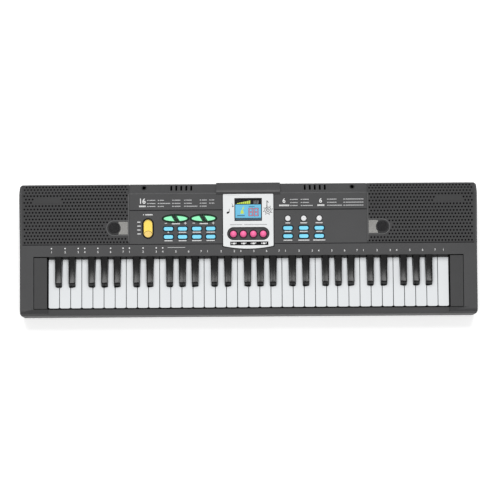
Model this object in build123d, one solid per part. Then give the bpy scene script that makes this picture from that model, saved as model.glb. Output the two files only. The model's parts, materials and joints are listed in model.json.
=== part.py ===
from build123d import *
import math
import os

os.makedirs("parts", exist_ok=True)

# Toy electronic keyboard with 61 keys. Millimetres, +X right, +Y rear, +Z up.
# The origin is under the middle of the case, on the surface that the feet stand on.

# ---------------------------------------------------------------- driving dimensions
LENGTH = 730.0
FRONT_Y = -106.0
REAR_Y = 105.0
CORNER_R = 6.0
WALL = 3.0
FOOT_H = 2.0
SPLIT_Z = 24.0

PANEL_FRONT_Y = -10.6
PANEL_FRONT_Z = 46.0
PANEL_REAR_Y = 88.3
PANEL_REAR_Z = 58.0
REAR_EDGE_Z = 46.0
PANEL_TILT = math.degrees(math.atan2(PANEL_REAR_Z - PANEL_FRONT_Z, PANEL_REAR_Y - PANEL_FRONT_Y))

# Keys
OCTAVES = 5
WHITE_PITCH = 17.78
OCTAVE = 7 * WHITE_PITCH
KEYS_X0 = -18 * WHITE_PITCH
KEY_GAP = 0.9
KEY_TOP_Z = 38.0
KEY_UNDER_Z = 34.5
KEY_FRONT_Y = -92.6
KEY_REAR_Y = -12.9
KEY_LIP_Z = 26.0
KEY_LIP_T = 1.5
ARM_TOP_Z = 36.7
BLACK_TOP_Z = 48.0
BLACK_W = 11.5
BLACK_FRONT_Y = -58.8
BLACK_SLOPE_Y = -53.2
BLACK_REAR_Y = -10.9
BLACK_CLEAR = 0.8
BLACK_ARM_W = 7.5
BLACK_CENTRES = {"cs": 16.7, "ds": 38.2, "fs": 69.6, "gs": 90.0, "as": 110.2}
WHITE_INDEX = {"c": 0, "d": 1, "e": 2, "f": 3, "g": 4, "a": 5, "b": 6}
RAIL_R = 1.6
RAIL_CLEAR = 0.05
RAIL_Z = 28.0
RAIL_Y = {"cegb": 1.0, "dfa": 6.0, "black": 11.0}

# Keybed opening in the upper case, and the cheek blocks at its ends
LIP_HALF_X = 320.7
BED_HALF_X = 343.2
BED_FRONT_Y = -94.4
CHEEK_X = (321.8, 342.4)
CHEEK_Y = (-93.6, -12.2)
CHEEK_WALL = 2.5
LIP_Z = 36.0
SKIRT_T = 1.6

# Key chassis
PLATE_Z = 17.0
PLATE_T = 2.0
PLATE_HALF_X = 342.0
PLATE_FRONT_Y = -90.5
BEAM_Y = (-2.5, 14.5)
BOARD_Z = 25.0

# Speakers and their grilles
SEAM_X = 189.5
GRILLE_X = (190.6, 361.0)
GRILLE_Y = (9.6, 102.6)
GRILLE_T = 1.6
HOLE_PITCH = 5.27
HOLE_R = 1.35
SPEAKER_X = 263.0
SPEAKER_Y = 53.5
SPEAKER_R = 33.5
SPEAKER_OPEN_R = 30.8
DISC_X = 214.0
DISC_Y = 34.0
DISC_R = 13.0
MESH_R = 9.2
TRIM_Y = (23.6, 44.1)

# Display panel in the middle
DISPLAY_HALF_X = 40.2
DISPLAY_Y = (4.6, 87.0)
DISPLAY_SAG_Y = 0.3
DISPLAY_T = 2.0
WINDOW_HALF_X = 21.9
WINDOW_Y = (44.1, 80.5)
TRAY_SIZE = (67.5, 20.6)
TRAY_Y = 24.2

# Buttons: cap above the panel, flange and stem below it
CAP_H = 1.6
CAP_CLEAR = 0.35
FLANGE_TOP = -3.2
FLANGE_T = 1.2
FLANGE_W = 1.0
STEM_R = 2.0
STEM_END = -7.0
TRAVEL = 1.2
BOARD_TOP = -12.0
BOARD_T = 1.6
MAT_T = 1.0
DOME_GAP = 0.3

BLUE_SIZE = (14.6, 5.8)
BLUE_R = 2.0
BLUE_LEFT_X = (-127.4, -104.9, -82.2, -60.0)
BLUE_RIGHT_X = (63.2, 88.5, 113.2)
BLUE_Y = (32.5, 19.7)
ROUND_R = 4.3
ROUND_Y = 47.8
PAD_R = 5.1
PAD_X = (-23.8, -8.0, 8.0, 23.8)
PAD_Y = 23.5
ROCKER_X = {"volume_rocker": -115.9, "tempo_rocker": -71.4}
ROCKER_Y = 48.7
ROCKER_A = 20.2
ROCKER_B = 5.5
ROCKER_SPLIT = 4.3
ROCKER_SLANT = 31.0
ROCKER_CLEAR = 0.6
ROCKER_AXIS = -4.9
ROCKER_PIN_R = 1.2
ROCKER_STEM_X = 13.0
LUG_Y = (5.9, 7.9)

# Mode and power slide switch
SWITCH_X = -159.9
SWITCH_Y = 33.2
SWITCH_SIZE = (14.0, 28.6)
SWITCH_TRAVEL = 18.0
SWITCH_PLATE_W = 17.0
SWITCH_FACE = -1.4

# Battery bay for four AA cells, with a hinged and latched cover
BAY_HALF_X = 31.0
BAY_Y = (22.0, 80.0)
BAY_TOP_Z = 20.0
BAY_WALL = 1.6
BAY_RIM = 3.0
COVER_MARGIN = 1.5
COVER_T = 2.4
COVER_GAP = 0.3

# Interfaces and fasteners
SOCKET_X = 166.2
SOCKET_Y = 98.4
SOCKET_R = 3.0
SOCKET_OUTER_R = 4.5
SOCKET_Z = (26.0, 28.0)
JACK_Z = 33.0
DC_X = 135.0
DC_R = 3.0
AUDIO_X = 150.0
AUDIO_R = 1.8
SCREW_XY = [(sx * x, y) for sx in (-1, 1) for x, y in ((352, -90), (352, 88), (205, 94), (70, 94))]
CHASSIS_SCREW_XY = [(sx * x, -70) for sx in (-1, 1) for x in (110, 300)]
SCREW_R = 1.25
SCREW_PASS_R = 1.6
THREAD_R = 1.3
BOSS_R = 3.6
LOWER_BOSS_R = 5.5
CHASSIS_BOSS_R = 4.0
BOARD_POST_R = 3.0
BOARD_POST_X = (-180, -47, 47, 180)
BOARD_POST_Y = (20, 80)
HEAD_R = 3.2
HEAD_H = 2.2
HEAD_SEAT_Z = 14.0
FOOT_XY = [(x, y) for x in (-325, 0, 325) for y in (-86, 92)]
VENT_X = [90.7 + 8 * i for i in range(5)]
VENT_HALF_W = 1.5
FOOT_R = 7.0


# ---------------------------------------------------------------- helpers
def block(x, y, z):
    """Box from its lowest and highest x, y and z."""
    size = (x[1] - x[0], y[1] - y[0], z[1] - z[0])
    middle = ((x[0] + x[1]) / 2, (y[0] + y[1]) / 2, (z[0] + z[1]) / 2)
    return Pos(*middle) * Box(*size)


def rod(x, y, z, radius):
    """Vertical cylinder between two heights."""
    return Pos(x, y, (z[0] + z[1]) / 2) * Cylinder(radius, z[1] - z[0])


def panel_z(y):
    return PANEL_FRONT_Z + (y - PANEL_FRONT_Y) * math.tan(math.radians(PANEL_TILT))


def on_panel(x, y):
    """Location on the sloping panel: local +Z is the panel's outward normal."""
    return Pos(x, y, panel_z(y)) * Rot(PANEL_TILT, 0, 0)


def up_slope(y, start):
    """Distance along the slope between two plan positions."""
    return (y - start) / math.cos(math.radians(PANEL_TILT))


def prism(outline, low, high):
    """Solid from a flat outline between two heights above the panel."""
    return extrude(Pos(0, 0, low) * outline, high - low)


def save(shape, name):
    export_step(shape, f"parts/{name}.step")


def along_x(profile, half_length):
    """Solid from a profile drawn as (y, z), centred on x = 0."""
    return extrude(Plane.YZ * profile, half_length, both=True)


def mirrored(shape):
    return [shape, mirror(shape, Plane.YZ)]


# ---------------------------------------------------------------- case halves
def case_profile():
    """Side profile of the closed case, as (y, z)."""
    points = [
        (FRONT_Y + 5, FOOT_H), (FRONT_Y, FOOT_H + 5), (FRONT_Y, 27), (FRONT_Y + 1.6, 34),
        (FRONT_Y + 5.4, 39), (BED_FRONT_Y + 1, 42.2), (PANEL_FRONT_Y, PANEL_FRONT_Z), (PANEL_REAR_Y, PANEL_REAR_Z),
        (REAR_Y, REAR_EDGE_Z), (REAR_Y, FOOT_H + 5), (REAR_Y - 5, FOOT_H)]
    profile = make_face(Polyline(*points, close=True))
    rounded = [v for v in profile.vertices() if v.Y > 30 and (v.X > 80 or v.X < BED_FRONT_Y)]
    return fillet(rounded, 3.0)


def case_solid(inset):
    """The case's outer form, drawn in by a wall thickness all round."""
    profile = case_profile()
    if inset:
        profile = offset(profile, -inset, kind=Kind.INTERSECTION)
    middle_y = (FRONT_Y + REAR_Y) / 2
    plan = RectangleRounded(LENGTH - 2 * inset, REAR_Y - FRONT_Y - 2 * inset, CORNER_R - inset)
    column = extrude(Pos(0, middle_y, 0) * plan, 80)
    return along_x(profile, LENGTH) & column


def key_lip_space(wall):
    """Space above the low front lip, grown downwards and sideways by the wall."""
    return block((-LIP_HALF_X - wall, LIP_HALF_X + wall), (FRONT_Y - 9, BED_FRONT_Y + wall),
                 (LIP_Z - wall, 80))


def rear_block(inset):
    """Raised plain block at the middle of the rear edge."""
    points = [(86, 50), (86, 58.2), (90, 60 - inset), (94, 59 - inset), (106 - inset, 50.5 - inset),
              (106 - inset, 42), (100, 42)]
    return along_x(make_face(Polyline(*points, close=True)), 51 - inset)


def speaker_skin(t, y_range, x_range):
    """Outer skin of the case, t thick, over one rectangle of the plan on the right side."""
    return (OUTER - case_solid(t)) & block(x_range, y_range, (30, 80))


def display_outline(grow):
    """White panel's outline: three straight sides and a bowed front edge."""
    half = DISPLAY_HALF_X + grow
    low = up_slope(DISPLAY_Y[0], TRAY_Y) - grow
    high = up_slope(DISPLAY_Y[1], TRAY_Y) + grow
    sag = up_slope(DISPLAY_SAG_Y, TRAY_Y) - grow
    edges = Polyline((-half, low), (-half, high), (half, high), (half, low))
    edges += ThreePointArc((half, low), (0, sag), (-half, low))
    face = make_face(edges)
    return fillet(face.vertices(), 1.5)


def rocker_half(grow, side):
    """Half of an ellipse, cut along a slanting band; side is -1 left or 1 right."""
    oval = Ellipse(ROCKER_A + grow, ROCKER_B + grow)
    reach = ROCKER_SPLIT / 2 - grow
    keep = Rot(0, 0, ROCKER_SLANT) * Pos(side * (reach + 30), 0) * Rectangle(60, 60)
    return oval & keep


def button_places():
    """(name, x, y, outline) of each push button that goes straight down."""
    places = []
    blue = RectangleRounded(*BLUE_SIZE, BLUE_R)
    names = [f"left_{row}_{i + 1}" for row in ("upper", "lower") for i in range(len(BLUE_LEFT_X))]
    spots = [(x, y) for y in BLUE_Y for x in BLUE_LEFT_X]
    names += [f"right_{row}_{i + 1}" for row in ("upper", "lower") for i in range(len(BLUE_RIGHT_X))]
    spots += [(x, y) for y in BLUE_Y for x in BLUE_RIGHT_X]
    for name, (x, y) in zip(names, spots):
        places.append((f"blue_button_{name}", x, y, blue))
    for i, x in enumerate(BLUE_RIGHT_X):
        places.append((f"round_button_{i + 1}", x, ROUND_Y, Circle(ROUND_R)))
    for i, x in enumerate(PAD_X):
        places.append((f"drum_pad_{i + 1}", x, PAD_Y, Circle(PAD_R)))
    return places


def grown(outline, by):
    return offset(outline, by, kind=Kind.ARC)


OUTER = case_solid(0) - key_lip_space(0) + rear_block(0)
INNER = case_solid(WALL) - key_lip_space(WALL) + rear_block(WALL)
SHELL = OUTER - INNER


def make_upper_case():
    case = SHELL & block((-400, 400), (-120, 120), (SPLIT_Z, 80))
    # Skirts round the keybed, screw bosses, board posts and switch guides.
    skirt = block((-BED_HALF_X - SKIRT_T, BED_HALF_X + SKIRT_T), (BED_FRONT_Y - SKIRT_T, PANEL_FRONT_Y),
                  (SPLIT_Z, LIP_Z - 1))
    skirt += mirrored(block((BED_HALF_X, BED_HALF_X + SKIRT_T), (BED_FRONT_Y, PANEL_FRONT_Y),
                            (SPLIT_Z, LIP_Z + 5)))
    inside = [rod(x, y, (SPLIT_Z, 70), BOSS_R) for x, y in SCREW_XY]
    inside += [on_panel(x, y) * rod(0, 0, (BOARD_TOP, 0), BOARD_POST_R)
               for x in BOARD_POST_X for y in BOARD_POST_Y]
    lug = block((-3, 3), LUG_Y, (ROCKER_AXIS - 2.2, 0))
    lugs = [lug, mirror(lug, Plane.XZ)]
    inside += [on_panel(x, ROCKER_Y) * piece for x in ROCKER_X.values() for piece in lugs]
    guide = block((SWITCH_PLATE_W / 2 + 0.3, SWITCH_PLATE_W / 2 + 1.8), (-34, 34), (-5, -1))
    inside += [on_panel(SWITCH_X, SWITCH_Y) * piece for piece in mirrored(guide)]
    case += skirt
    case += [piece & OUTER for piece in inside]
    # Keybed opening.
    cuts = [block((-BED_HALF_X, BED_HALF_X), (BED_FRONT_Y, PANEL_FRONT_Y), (SPLIT_Z - 1, 80))]
    # Recess, speaker opening and perforated grille seat on each side.
    seat = speaker_skin(GRILLE_T, GRILLE_Y, GRILLE_X)
    seat += on_panel(SPEAKER_X, SPEAKER_Y) * rod(0, 0, (-9, 3), SPEAKER_OPEN_R)
    cuts += mirrored(seat)
    # Seams between the side panels and the middle, and two grooves across the middle.
    seam = block((SEAM_X - 0.5, SEAM_X + 0.5), (8, 120), (30, 80)) & (OUTER - case_solid(0.8))
    cuts += mirrored(seam)
    for y, half_x in ((62, SEAM_X), (8.1, GRILLE_X[1])):
        groove = on_panel(0, y) * block((DISPLAY_HALF_X + 2, half_x), (-0.6, 0.6), (-0.8, 1))
        cuts += mirrored(groove)
    # Display panel recess, with its window, the gap round it and the holes of every control.
    panel = on_panel(0, TRAY_Y)
    cuts.append(panel * prism(display_outline(0.4), -DISPLAY_T, 3))
    window_y = (WINDOW_Y[0] + WINDOW_Y[1]) / 2
    window = Rectangle(2 * WINDOW_HALF_X + 4, WINDOW_Y[1] - WINDOW_Y[0] + 4)
    cuts.append(on_panel(0, window_y) * prism(window, -9, 3))
    cuts += [on_panel(x, y) * prism(grown(outline, CAP_CLEAR), -9, 3)
             for _, x, y, outline in button_places()]
    for x in ROCKER_X.values():
        cuts += [on_panel(x, ROCKER_Y) * prism(rocker_half(ROCKER_CLEAR, side), -WALL - 0.5, 3)
                 for side in (-1, 1)]
        cuts.append(on_panel(x, ROCKER_Y) * Pos(0, 0, ROCKER_AXIS) * Rot(90, 0, 0)
                    * Cylinder(ROCKER_PIN_R + 0.06, 20))
    slot = prism(Rot(0, 0, 90) * SlotOverall(SWITCH_SIZE[1], SWITCH_SIZE[0]), -9, 3)
    reach = SWITCH_SIZE[1] / 2 + SWITCH_TRAVEL + 1.4
    pocket = block((-SWITCH_PLATE_W / 2 - 0.3, SWITCH_PLATE_W / 2 + 0.3), (-reach, reach),
                   (-WALL - 0.5, SWITCH_FACE + 0.2))
    cuts += [on_panel(SWITCH_X, SWITCH_Y) * piece for piece in (slot, pocket)]
    # Vents in the rear slope, stand sockets, jacks and screw threads.
    cuts += [piece for x in VENT_X for piece in
             mirrored(block((x - VENT_HALF_W, x + VENT_HALF_W), (93.4, 102), (38, 70)))]
    cuts += [rod(sx * SOCKET_X, SOCKET_Y, (SPLIT_Z, 70), SOCKET_OUTER_R) for sx in (-1, 1)]
    cuts += [Pos(x, REAR_Y, JACK_Z) * Rot(90, 0, 0) * Cylinder(4.7, 20) for x in (DC_X, AUDIO_X)]
    cuts += [rod(x, y, (SPLIT_Z - 1, 36), THREAD_R) for x, y in SCREW_XY]
    return case - cuts


def make_lower_case():
    case = SHELL & block((-400, 400), (-120, 120), (0, SPLIT_Z))
    floor_z = FOOT_H + WALL
    adds = [rod(x, y, (FOOT_H, SPLIT_Z), LOWER_BOSS_R) & OUTER for x, y in SCREW_XY]
    adds += [rod(x, y, (floor_z - 1, PLATE_Z), CHASSIS_BOSS_R) for x, y in CHASSIS_SCREW_XY]
    half = BAY_HALF_X + BAY_RIM
    adds.append(block((-half, half), (BAY_Y[0] - BAY_RIM, BAY_Y[1] + BAY_RIM),
                      (floor_z - 1, BAY_TOP_Z + BAY_WALL)))
    case += adds
    cover = COVER_MARGIN
    cuts = [block((-BAY_HALF_X, BAY_HALF_X), BAY_Y, (0, BAY_TOP_Z))]
    cuts.append(block((-BAY_HALF_X - cover, BAY_HALF_X + cover), (BAY_Y[0] - cover, BAY_Y[1] + cover),
                      (0, FOOT_H + COVER_T + COVER_GAP)))
    cuts.append(block((-6.3, 6.3), (BAY_Y[1], BAY_Y[1] + 4.3), (0, FOOT_H + COVER_T + COVER_GAP)))
    cuts += [rod(x, y, (0, HEAD_SEAT_Z), HEAD_R + 0.6) for x, y in SCREW_XY]
    cuts += [rod(x, y, (0, SPLIT_Z + 1), SCREW_PASS_R) for x, y in SCREW_XY]
    cuts += [rod(x, y, (8, SPLIT_Z + 1), THREAD_R) for x, y in CHASSIS_SCREW_XY]
    return case - cuts


# ---------------------------------------------------------------- panel trim and speakers
def make_grilles():
    plate = speaker_skin(GRILLE_T - 0.05, (GRILLE_Y[0] + 0.15, GRILLE_Y[1] - 0.15),
                         (GRILLE_X[0] + 0.15, GRILLE_X[1] - 0.15))
    disc = on_panel(DISC_X, DISC_Y) * rod(0, 0, (-4, 4), DISC_R + 0.2)
    trim = block((GRILLE_X[0] - 2, DISC_X), (TRIM_Y[0] - 0.2, TRIM_Y[1] + 0.2), (40, 70))
    reach = int(SPEAKER_R / HOLE_PITCH) + 1
    holes = []
    for row in range(-2 * reach, 2 * reach + 1):
        for column in range(-reach, reach + 1):
            x = (column + 0.5 * (row % 2)) * HOLE_PITCH
            y = row * HOLE_PITCH
            if math.hypot(x, y) < SPEAKER_R - HOLE_R:
                holes.append(Pos(x, y, 0) * Cylinder(HOLE_R, 12))
    hole_set = Compound([on_panel(SPEAKER_X, SPEAKER_Y) * hole for hole in holes])
    return Compound(mirrored(plate - disc - trim - hole_set))


def make_round_grilles():
    """Round mesh disc inside a raised ring, one for each side."""
    ring = rod(0, 0, (-GRILLE_T, 1.2), DISC_R) - rod(0, 0, (0, 2), MESH_R)
    ring = fillet(ring.edges().filter_by(GeomType.CIRCLE).group_by(Axis.Z)[-1], 0.5)
    return Compound(mirrored(on_panel(DISC_X, DISC_Y) * ring))


def make_trim_plates():
    """Plain silver tab from each ring to the seam."""
    plate = speaker_skin(GRILLE_T, TRIM_Y, (GRILLE_X[0] + 0.2, DISC_X))
    disc = on_panel(DISC_X, DISC_Y) * rod(0, 0, (-4, 4), DISC_R + 0.15)
    return Compound(mirrored(plate - disc))


def on_speaker(shape):
    """One shape for each speaker, on its axis under the panel."""
    return Compound(mirrored(on_panel(SPEAKER_X, SPEAKER_Y) * shape))


def make_speaker_baskets():
    points = [(0, -36), (15, -36), (15, -23), (19, -21), (29, -8), (33, -6), (33, -3.2),
              (30.8, -3.2), (30.8, -5.5), (17.5, -19.5), (0, -19.5)]
    basket = revolve(Plane.XZ * make_face(Polyline(*points, close=True)), Axis.Z)
    return on_speaker(basket)


def make_speaker_cones():
    points = [(0, -16), (8, -18.5), (14, -18.8), (27.5, -6.2), (30.5, -5), (30.5, -4), (26.5, -4.6),
              (12, -15.5), (6, -12), (0, -11)]
    cone = revolve(Plane.XZ * make_face(Polyline(*points, close=True)), Axis.Z)
    return on_speaker(cone)


def make_display_panel():
    tray = SlotOverall(*TRAY_SIZE)
    window_y = up_slope((WINDOW_Y[0] + WINDOW_Y[1]) / 2, TRAY_Y)
    window = Pos(0, window_y) * Rectangle(2 * WINDOW_HALF_X, WINDOW_Y[1] - WINDOW_Y[0])
    panel = prism(display_outline(0) - tray - window, -DISPLAY_T, 0.4)
    return on_panel(0, TRAY_Y) * panel


def window_plate(grow, low, high):
    middle = (WINDOW_Y[0] + WINDOW_Y[1]) / 2
    outline = Rectangle(2 * (WINDOW_HALF_X + grow), WINDOW_Y[1] - WINDOW_Y[0] + 2 * grow)
    return on_panel(0, middle) * prism(outline, low, high)


# ---------------------------------------------------------------- controls
def make_button(x, y, outline, height):
    cap = prism(outline, FLANGE_TOP, height)
    top = cap.faces().sort_by(Axis.Z)[-1]
    cap = fillet(top.edges(), 0.5)
    flange = prism(grown(outline, FLANGE_W), FLANGE_TOP - FLANGE_T, FLANGE_TOP)
    stem = rod(0, 0, (STEM_END, FLANGE_TOP), STEM_R)
    return on_panel(x, y) * (cap + flange + stem)


def make_drum_pad(x, y):
    """Domed pad: a low spherical cap on a round body."""
    rise = 2.4
    ball_r = (PAD_R ** 2 + rise ** 2) / (2 * rise)
    dome = Pos(0, 0, rise - ball_r) * Sphere(ball_r) & rod(0, 0, (FLANGE_TOP, 9), PAD_R)
    body = rod(0, 0, (FLANGE_TOP, 0), PAD_R)
    flange = rod(0, 0, (FLANGE_TOP - FLANGE_T, FLANGE_TOP), PAD_R + FLANGE_W)
    stem = rod(0, 0, (STEM_END, FLANGE_TOP), STEM_R)
    return on_panel(x, y) * (dome + body + flange + stem)


def make_rocker(x):
    """Two half-oval caps on one bar, which turns on a pin between two lugs."""
    bar = block((-15, 15), (-3.2, 3.2), (ROCKER_AXIS - 0.9, ROCKER_AXIS + 0.7))
    caps = [prism(rocker_half(-0.1, side), ROCKER_AXIS, 1.4) for side in (-1, 1)]
    stems = [rod(side * ROCKER_STEM_X, 0, (STEM_END, ROCKER_AXIS), STEM_R) for side in (-1, 1)]
    pin = Pos(0, 0, ROCKER_AXIS) * Rot(90, 0, 0) * Cylinder(ROCKER_PIN_R, 15.6)
    return on_panel(x, ROCKER_Y) * (bar + caps + stems + pin)


def make_switch():
    """Shutter plate under the slot, its raised face, and a grip bar at the front end."""
    width, length = SWITCH_SIZE
    half = length / 2
    plate = block((-SWITCH_PLATE_W / 2, SWITCH_PLATE_W / 2), (-half - SWITCH_TRAVEL - 1, half + 1),
                  (SWITCH_FACE - 1.6, SWITCH_FACE))
    slot = Rot(0, 0, 90) * SlotOverall(length - 0.8, width - 0.8)
    grip = prism(slot & Pos(0, -SWITCH_TRAVEL) * slot, SWITCH_FACE - 0.1, 1.2)
    stem = block((-3, 3), (-half + 2, -half + 6), (-9, SWITCH_FACE - 1))
    return on_panel(SWITCH_X, SWITCH_Y) * (plate + grip + stem)


def make_button_mats():
    """Domed rubber mats on the main board, under the three groups of buttons."""
    dome_top = STEM_END - TRAVEL - DOME_GAP
    spots = [(x, y) for _, x, y, _ in button_places()]
    spots += [(x + side * ROCKER_STEM_X, ROCKER_Y) for x in ROCKER_X.values() for side in (-1, 1)]
    mats = []
    for x0, x1, y0, y1 in ((-138, -51, 15, 56), (-32, 32, 16.5, 31), (54, 122, 15, 56)):
        sheet = prism(Rectangle(x1 - x0, y1 - y0), BOARD_TOP, BOARD_TOP + MAT_T)
        mat = on_panel((x0 + x1) / 2, (y0 + y1) / 2) * sheet
        mat += [on_panel(x, y) * rod(0, 0, (BOARD_TOP + MAT_T / 2, dome_top), 3.0)
                for x, y in spots if x0 < x < x1]
        mats.append(mat)
    return Compound(mats)


def make_key_contact_rubbers():
    """One ridged rubber strip for each octave."""
    strips = []
    for octave in range(OCTAVES):
        x0 = KEYS_X0 + octave * OCTAVE
        strip = block((x0 + 2, x0 + OCTAVE - 2), (-46, -32), (BOARD_Z + BOARD_T, BOARD_Z + 2.6))
        ridge = block((x0 + 3, x0 + OCTAVE - 3), (-42, -36), (BOARD_Z + 2, BOARD_Z + 5.6))
        strips.append(strip + ridge)
    return Compound(strips)


def make_main_board():
    return on_panel(0, 50) * prism(Rectangle(376, 68), BOARD_TOP - BOARD_T, BOARD_TOP)


# ---------------------------------------------------------------- keys
def white_span(note):
    left = WHITE_INDEX[note] * WHITE_PITCH + KEY_GAP / 2
    return left, left + WHITE_PITCH - KEY_GAP


def white_tail(note, has_right_black):
    """Width of a white key between its black neighbours."""
    low, high = white_span(note)
    for centre in BLACK_CENTRES.values():
        edge = BLACK_W / 2 + BLACK_CLEAR
        if low < centre + edge < high and centre < (low + high) / 2:
            low = centre + edge
        if low < centre - edge < high and centre > (low + high) / 2 and has_right_black:
            high = centre - edge
    return low, high


def arm(x, rail_y):
    """Flat arm from a key back to its rail, and the drop onto the rail."""
    reach = block(x, (KEY_REAR_Y - 1, rail_y + RAIL_R), (KEY_UNDER_Z, ARM_TOP_Z))
    drop = block(x, (rail_y - RAIL_R, rail_y + RAIL_R), (RAIL_Z, ARM_TOP_Z))
    return reach + drop


def white_key(x0, note, rail_y, top_key=False):
    low, high = white_span(note)
    tail = white_tail(note, not top_key)
    head_x = (x0 + low, x0 + high)
    tail_x = (x0 + tail[0], x0 + tail[1])
    waist_y = BLACK_FRONT_Y - BLACK_CLEAR
    head = block(head_x, (KEY_FRONT_Y, waist_y), (KEY_UNDER_Z, KEY_TOP_Z))
    lip = block(head_x, (KEY_FRONT_Y, KEY_FRONT_Y + KEY_LIP_T), (KEY_LIP_Z, KEY_TOP_Z))
    neck = block(tail_x, (waist_y, KEY_REAR_Y), (KEY_UNDER_Z, KEY_TOP_Z))
    return head + lip + neck + arm(tail_x, rail_y)


def black_key(x0, note, rail_y):
    middle = x0 + BLACK_CENTRES[note]
    points = [(BLACK_FRONT_Y, KEY_UNDER_Z), (BLACK_FRONT_Y, KEY_TOP_Z + 1.5), (BLACK_SLOPE_Y, BLACK_TOP_Z),
              (BLACK_REAR_Y, BLACK_TOP_Z), (BLACK_REAR_Y, KEY_UNDER_Z)]
    body = Pos(middle, 0, 0) * along_x(make_face(Polyline(*points, close=True)), BLACK_W / 2)
    return body + arm((middle - BLACK_ARM_W / 2, middle + BLACK_ARM_W / 2), rail_y)


def rail(x, rail_y, radius):
    return Pos((x[0] + x[1]) / 2, rail_y, RAIL_Z) * Rot(0, 90, 0) * Cylinder(radius, x[1] - x[0])


def make_comb(octave, group):
    """One octave's keys of one group, moulded on a common pivot rail."""
    x0 = KEYS_X0 + octave * OCTAVE
    rail_y = RAIL_Y[group]
    end = x0 + OCTAVE - 1
    if group == "black":
        keys = [black_key(x0, note, rail_y) for note in BLACK_CENTRES]
    else:
        keys = [white_key(x0, note, rail_y) for note in group]
    if group == "cegb" and octave == OCTAVES - 1:
        keys.append(white_key(x0 + OCTAVE, "c", rail_y, top_key=True))
        end = x0 + OCTAVE + WHITE_PITCH - 1
    comb = rail((x0 + 1, end), rail_y, RAIL_R)
    for key in keys:
        comb += key
    return comb


def make_key_chassis():
    top = PLATE_Z + PLATE_T
    plate = block((-PLATE_HALF_X, PLATE_HALF_X), (PLATE_FRONT_Y, BEAM_Y[1]), (PLATE_Z, top))
    beam = block((-PLATE_HALF_X + 15, PLATE_HALF_X - 15), BEAM_Y, (top - 0.5, RAIL_Z))
    shelves = [block((-PLATE_HALF_X + 20, PLATE_HALF_X - 20), y, (top - 0.5, BOARD_Z))
               for y in ((-54, -52), (-28, -26))]
    grooves = [rail((-PLATE_HALF_X, PLATE_HALF_X), y, RAIL_R + RAIL_CLEAR) for y in RAIL_Y.values()]
    holes = [rod(x, y, (PLATE_Z - 1, top + 1), SCREW_PASS_R) for x, y in CHASSIS_SCREW_XY]
    cheek = OUTER & block(CHEEK_X, CHEEK_Y, (top - 0.5, 80))
    hollow_x = (CHEEK_X[0] + CHEEK_WALL, CHEEK_X[1] - CHEEK_WALL)
    hollow_y = (CHEEK_Y[0] + CHEEK_WALL, CHEEK_Y[1] - CHEEK_WALL)
    hollow = block(hollow_x, hollow_y, (PLATE_Z - 1, LIP_Z + 3))
    return plate + beam + shelves + mirrored(cheek) - grooves - holes - mirrored(hollow)


def make_key_contact_board():
    return block((-PLATE_HALF_X + 22, PLATE_HALF_X - 22), (-54, -26), (BOARD_Z, BOARD_Z + BOARD_T))


# ---------------------------------------------------------------- small pieces
def make_battery_cover():
    """Flat cover that swings on its rounded front edge; a latch tongue holds its rear edge."""
    edge = COVER_MARGIN - COVER_GAP
    span = (-BAY_HALF_X - edge, BAY_HALF_X + edge)
    axis_y = BAY_Y[0] - edge + COVER_T / 2
    cover = block(span, (axis_y, BAY_Y[1] + edge), (FOOT_H, FOOT_H + COVER_T))
    cover += (Pos(0, axis_y, FOOT_H + COVER_T / 2) * Rot(0, 90, 0)
              * Cylinder(COVER_T / 2, span[1] - span[0]))
    latch = block((-6, 6), (BAY_Y[1], BAY_Y[1] + 4), (FOOT_H, FOOT_H + COVER_T))
    grip = block((-8, 8), (BAY_Y[1] - 6, BAY_Y[1] - 4), (FOOT_H - 1, FOOT_H + 0.8))
    return cover + latch - grip


def make_battery_terminals():
    pieces = []
    pitch = 2 * BAY_HALF_X / 4
    for i in range(4):
        x = -BAY_HALF_X + pitch * (i + 0.5)
        for end, y in enumerate(BAY_Y):
            inward = 1 if end == 0 else -1
            plate = block((x - 5.5, x + 5.5), sorted((y, y + inward * 0.6)), (6.5, 18.5))
            boss_l, boss_r = (4.0, 3.6) if (i + end) % 2 else (1.2, 2.4)
            boss = Pos(x, y + inward * boss_l / 2, 12.5) * Rot(90, 0, 0) * Cylinder(boss_r, boss_l)
            pieces.append(plate + boss)
    return Compound(pieces)


def make_screws():
    screws = []
    for x, y in SCREW_XY:
        head = rod(x, y, (HEAD_SEAT_Z - HEAD_H, HEAD_SEAT_Z), HEAD_R)
        cross = block((x - 2, x + 2), (y - 0.4, y + 0.4), (HEAD_SEAT_Z - HEAD_H - 1, HEAD_SEAT_Z - 1))
        screws.append(head + rod(x, y, (HEAD_SEAT_Z - 0.5, 34), SCREW_R) - cross)
    top = PLATE_Z + PLATE_T
    for x, y in CHASSIS_SCREW_XY:
        screws.append(rod(x, y, (top, top + HEAD_H), HEAD_R) + rod(x, y, (9, top + 1), SCREW_R))
    return Compound(screws)


def make_stand_sockets():
    """Blind tubes for the legs of a wire music rest, flush with the rear slope."""
    tube = rod(SOCKET_X, SOCKET_Y, (SOCKET_Z[0], 70), SOCKET_OUTER_R - 0.1) & OUTER
    return Compound(mirrored(tube - rod(SOCKET_X, SOCKET_Y, (SOCKET_Z[1], 70), SOCKET_R)))


def make_jack_sockets():
    """DC inlet and a 3.5 mm audio jack, set in the rear wall."""
    jacks = []
    for x, bore_r in ((DC_X, DC_R), (AUDIO_X, AUDIO_R)):
        body = block((x - 5.5, x + 5.5), (REAR_Y - 18, REAR_Y - WALL - 0.2), (JACK_Z - 6, JACK_Z + 6))
        nose = Pos(x, REAR_Y - 2, JACK_Z) * Rot(90, 0, 0) * Cylinder(4.5, 4)
        bore = Pos(x, REAR_Y - 7, JACK_Z) * Rot(90, 0, 0) * Cylinder(bore_r, 14)
        jacks.append(body + nose - bore)
    return Compound(jacks)


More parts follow.
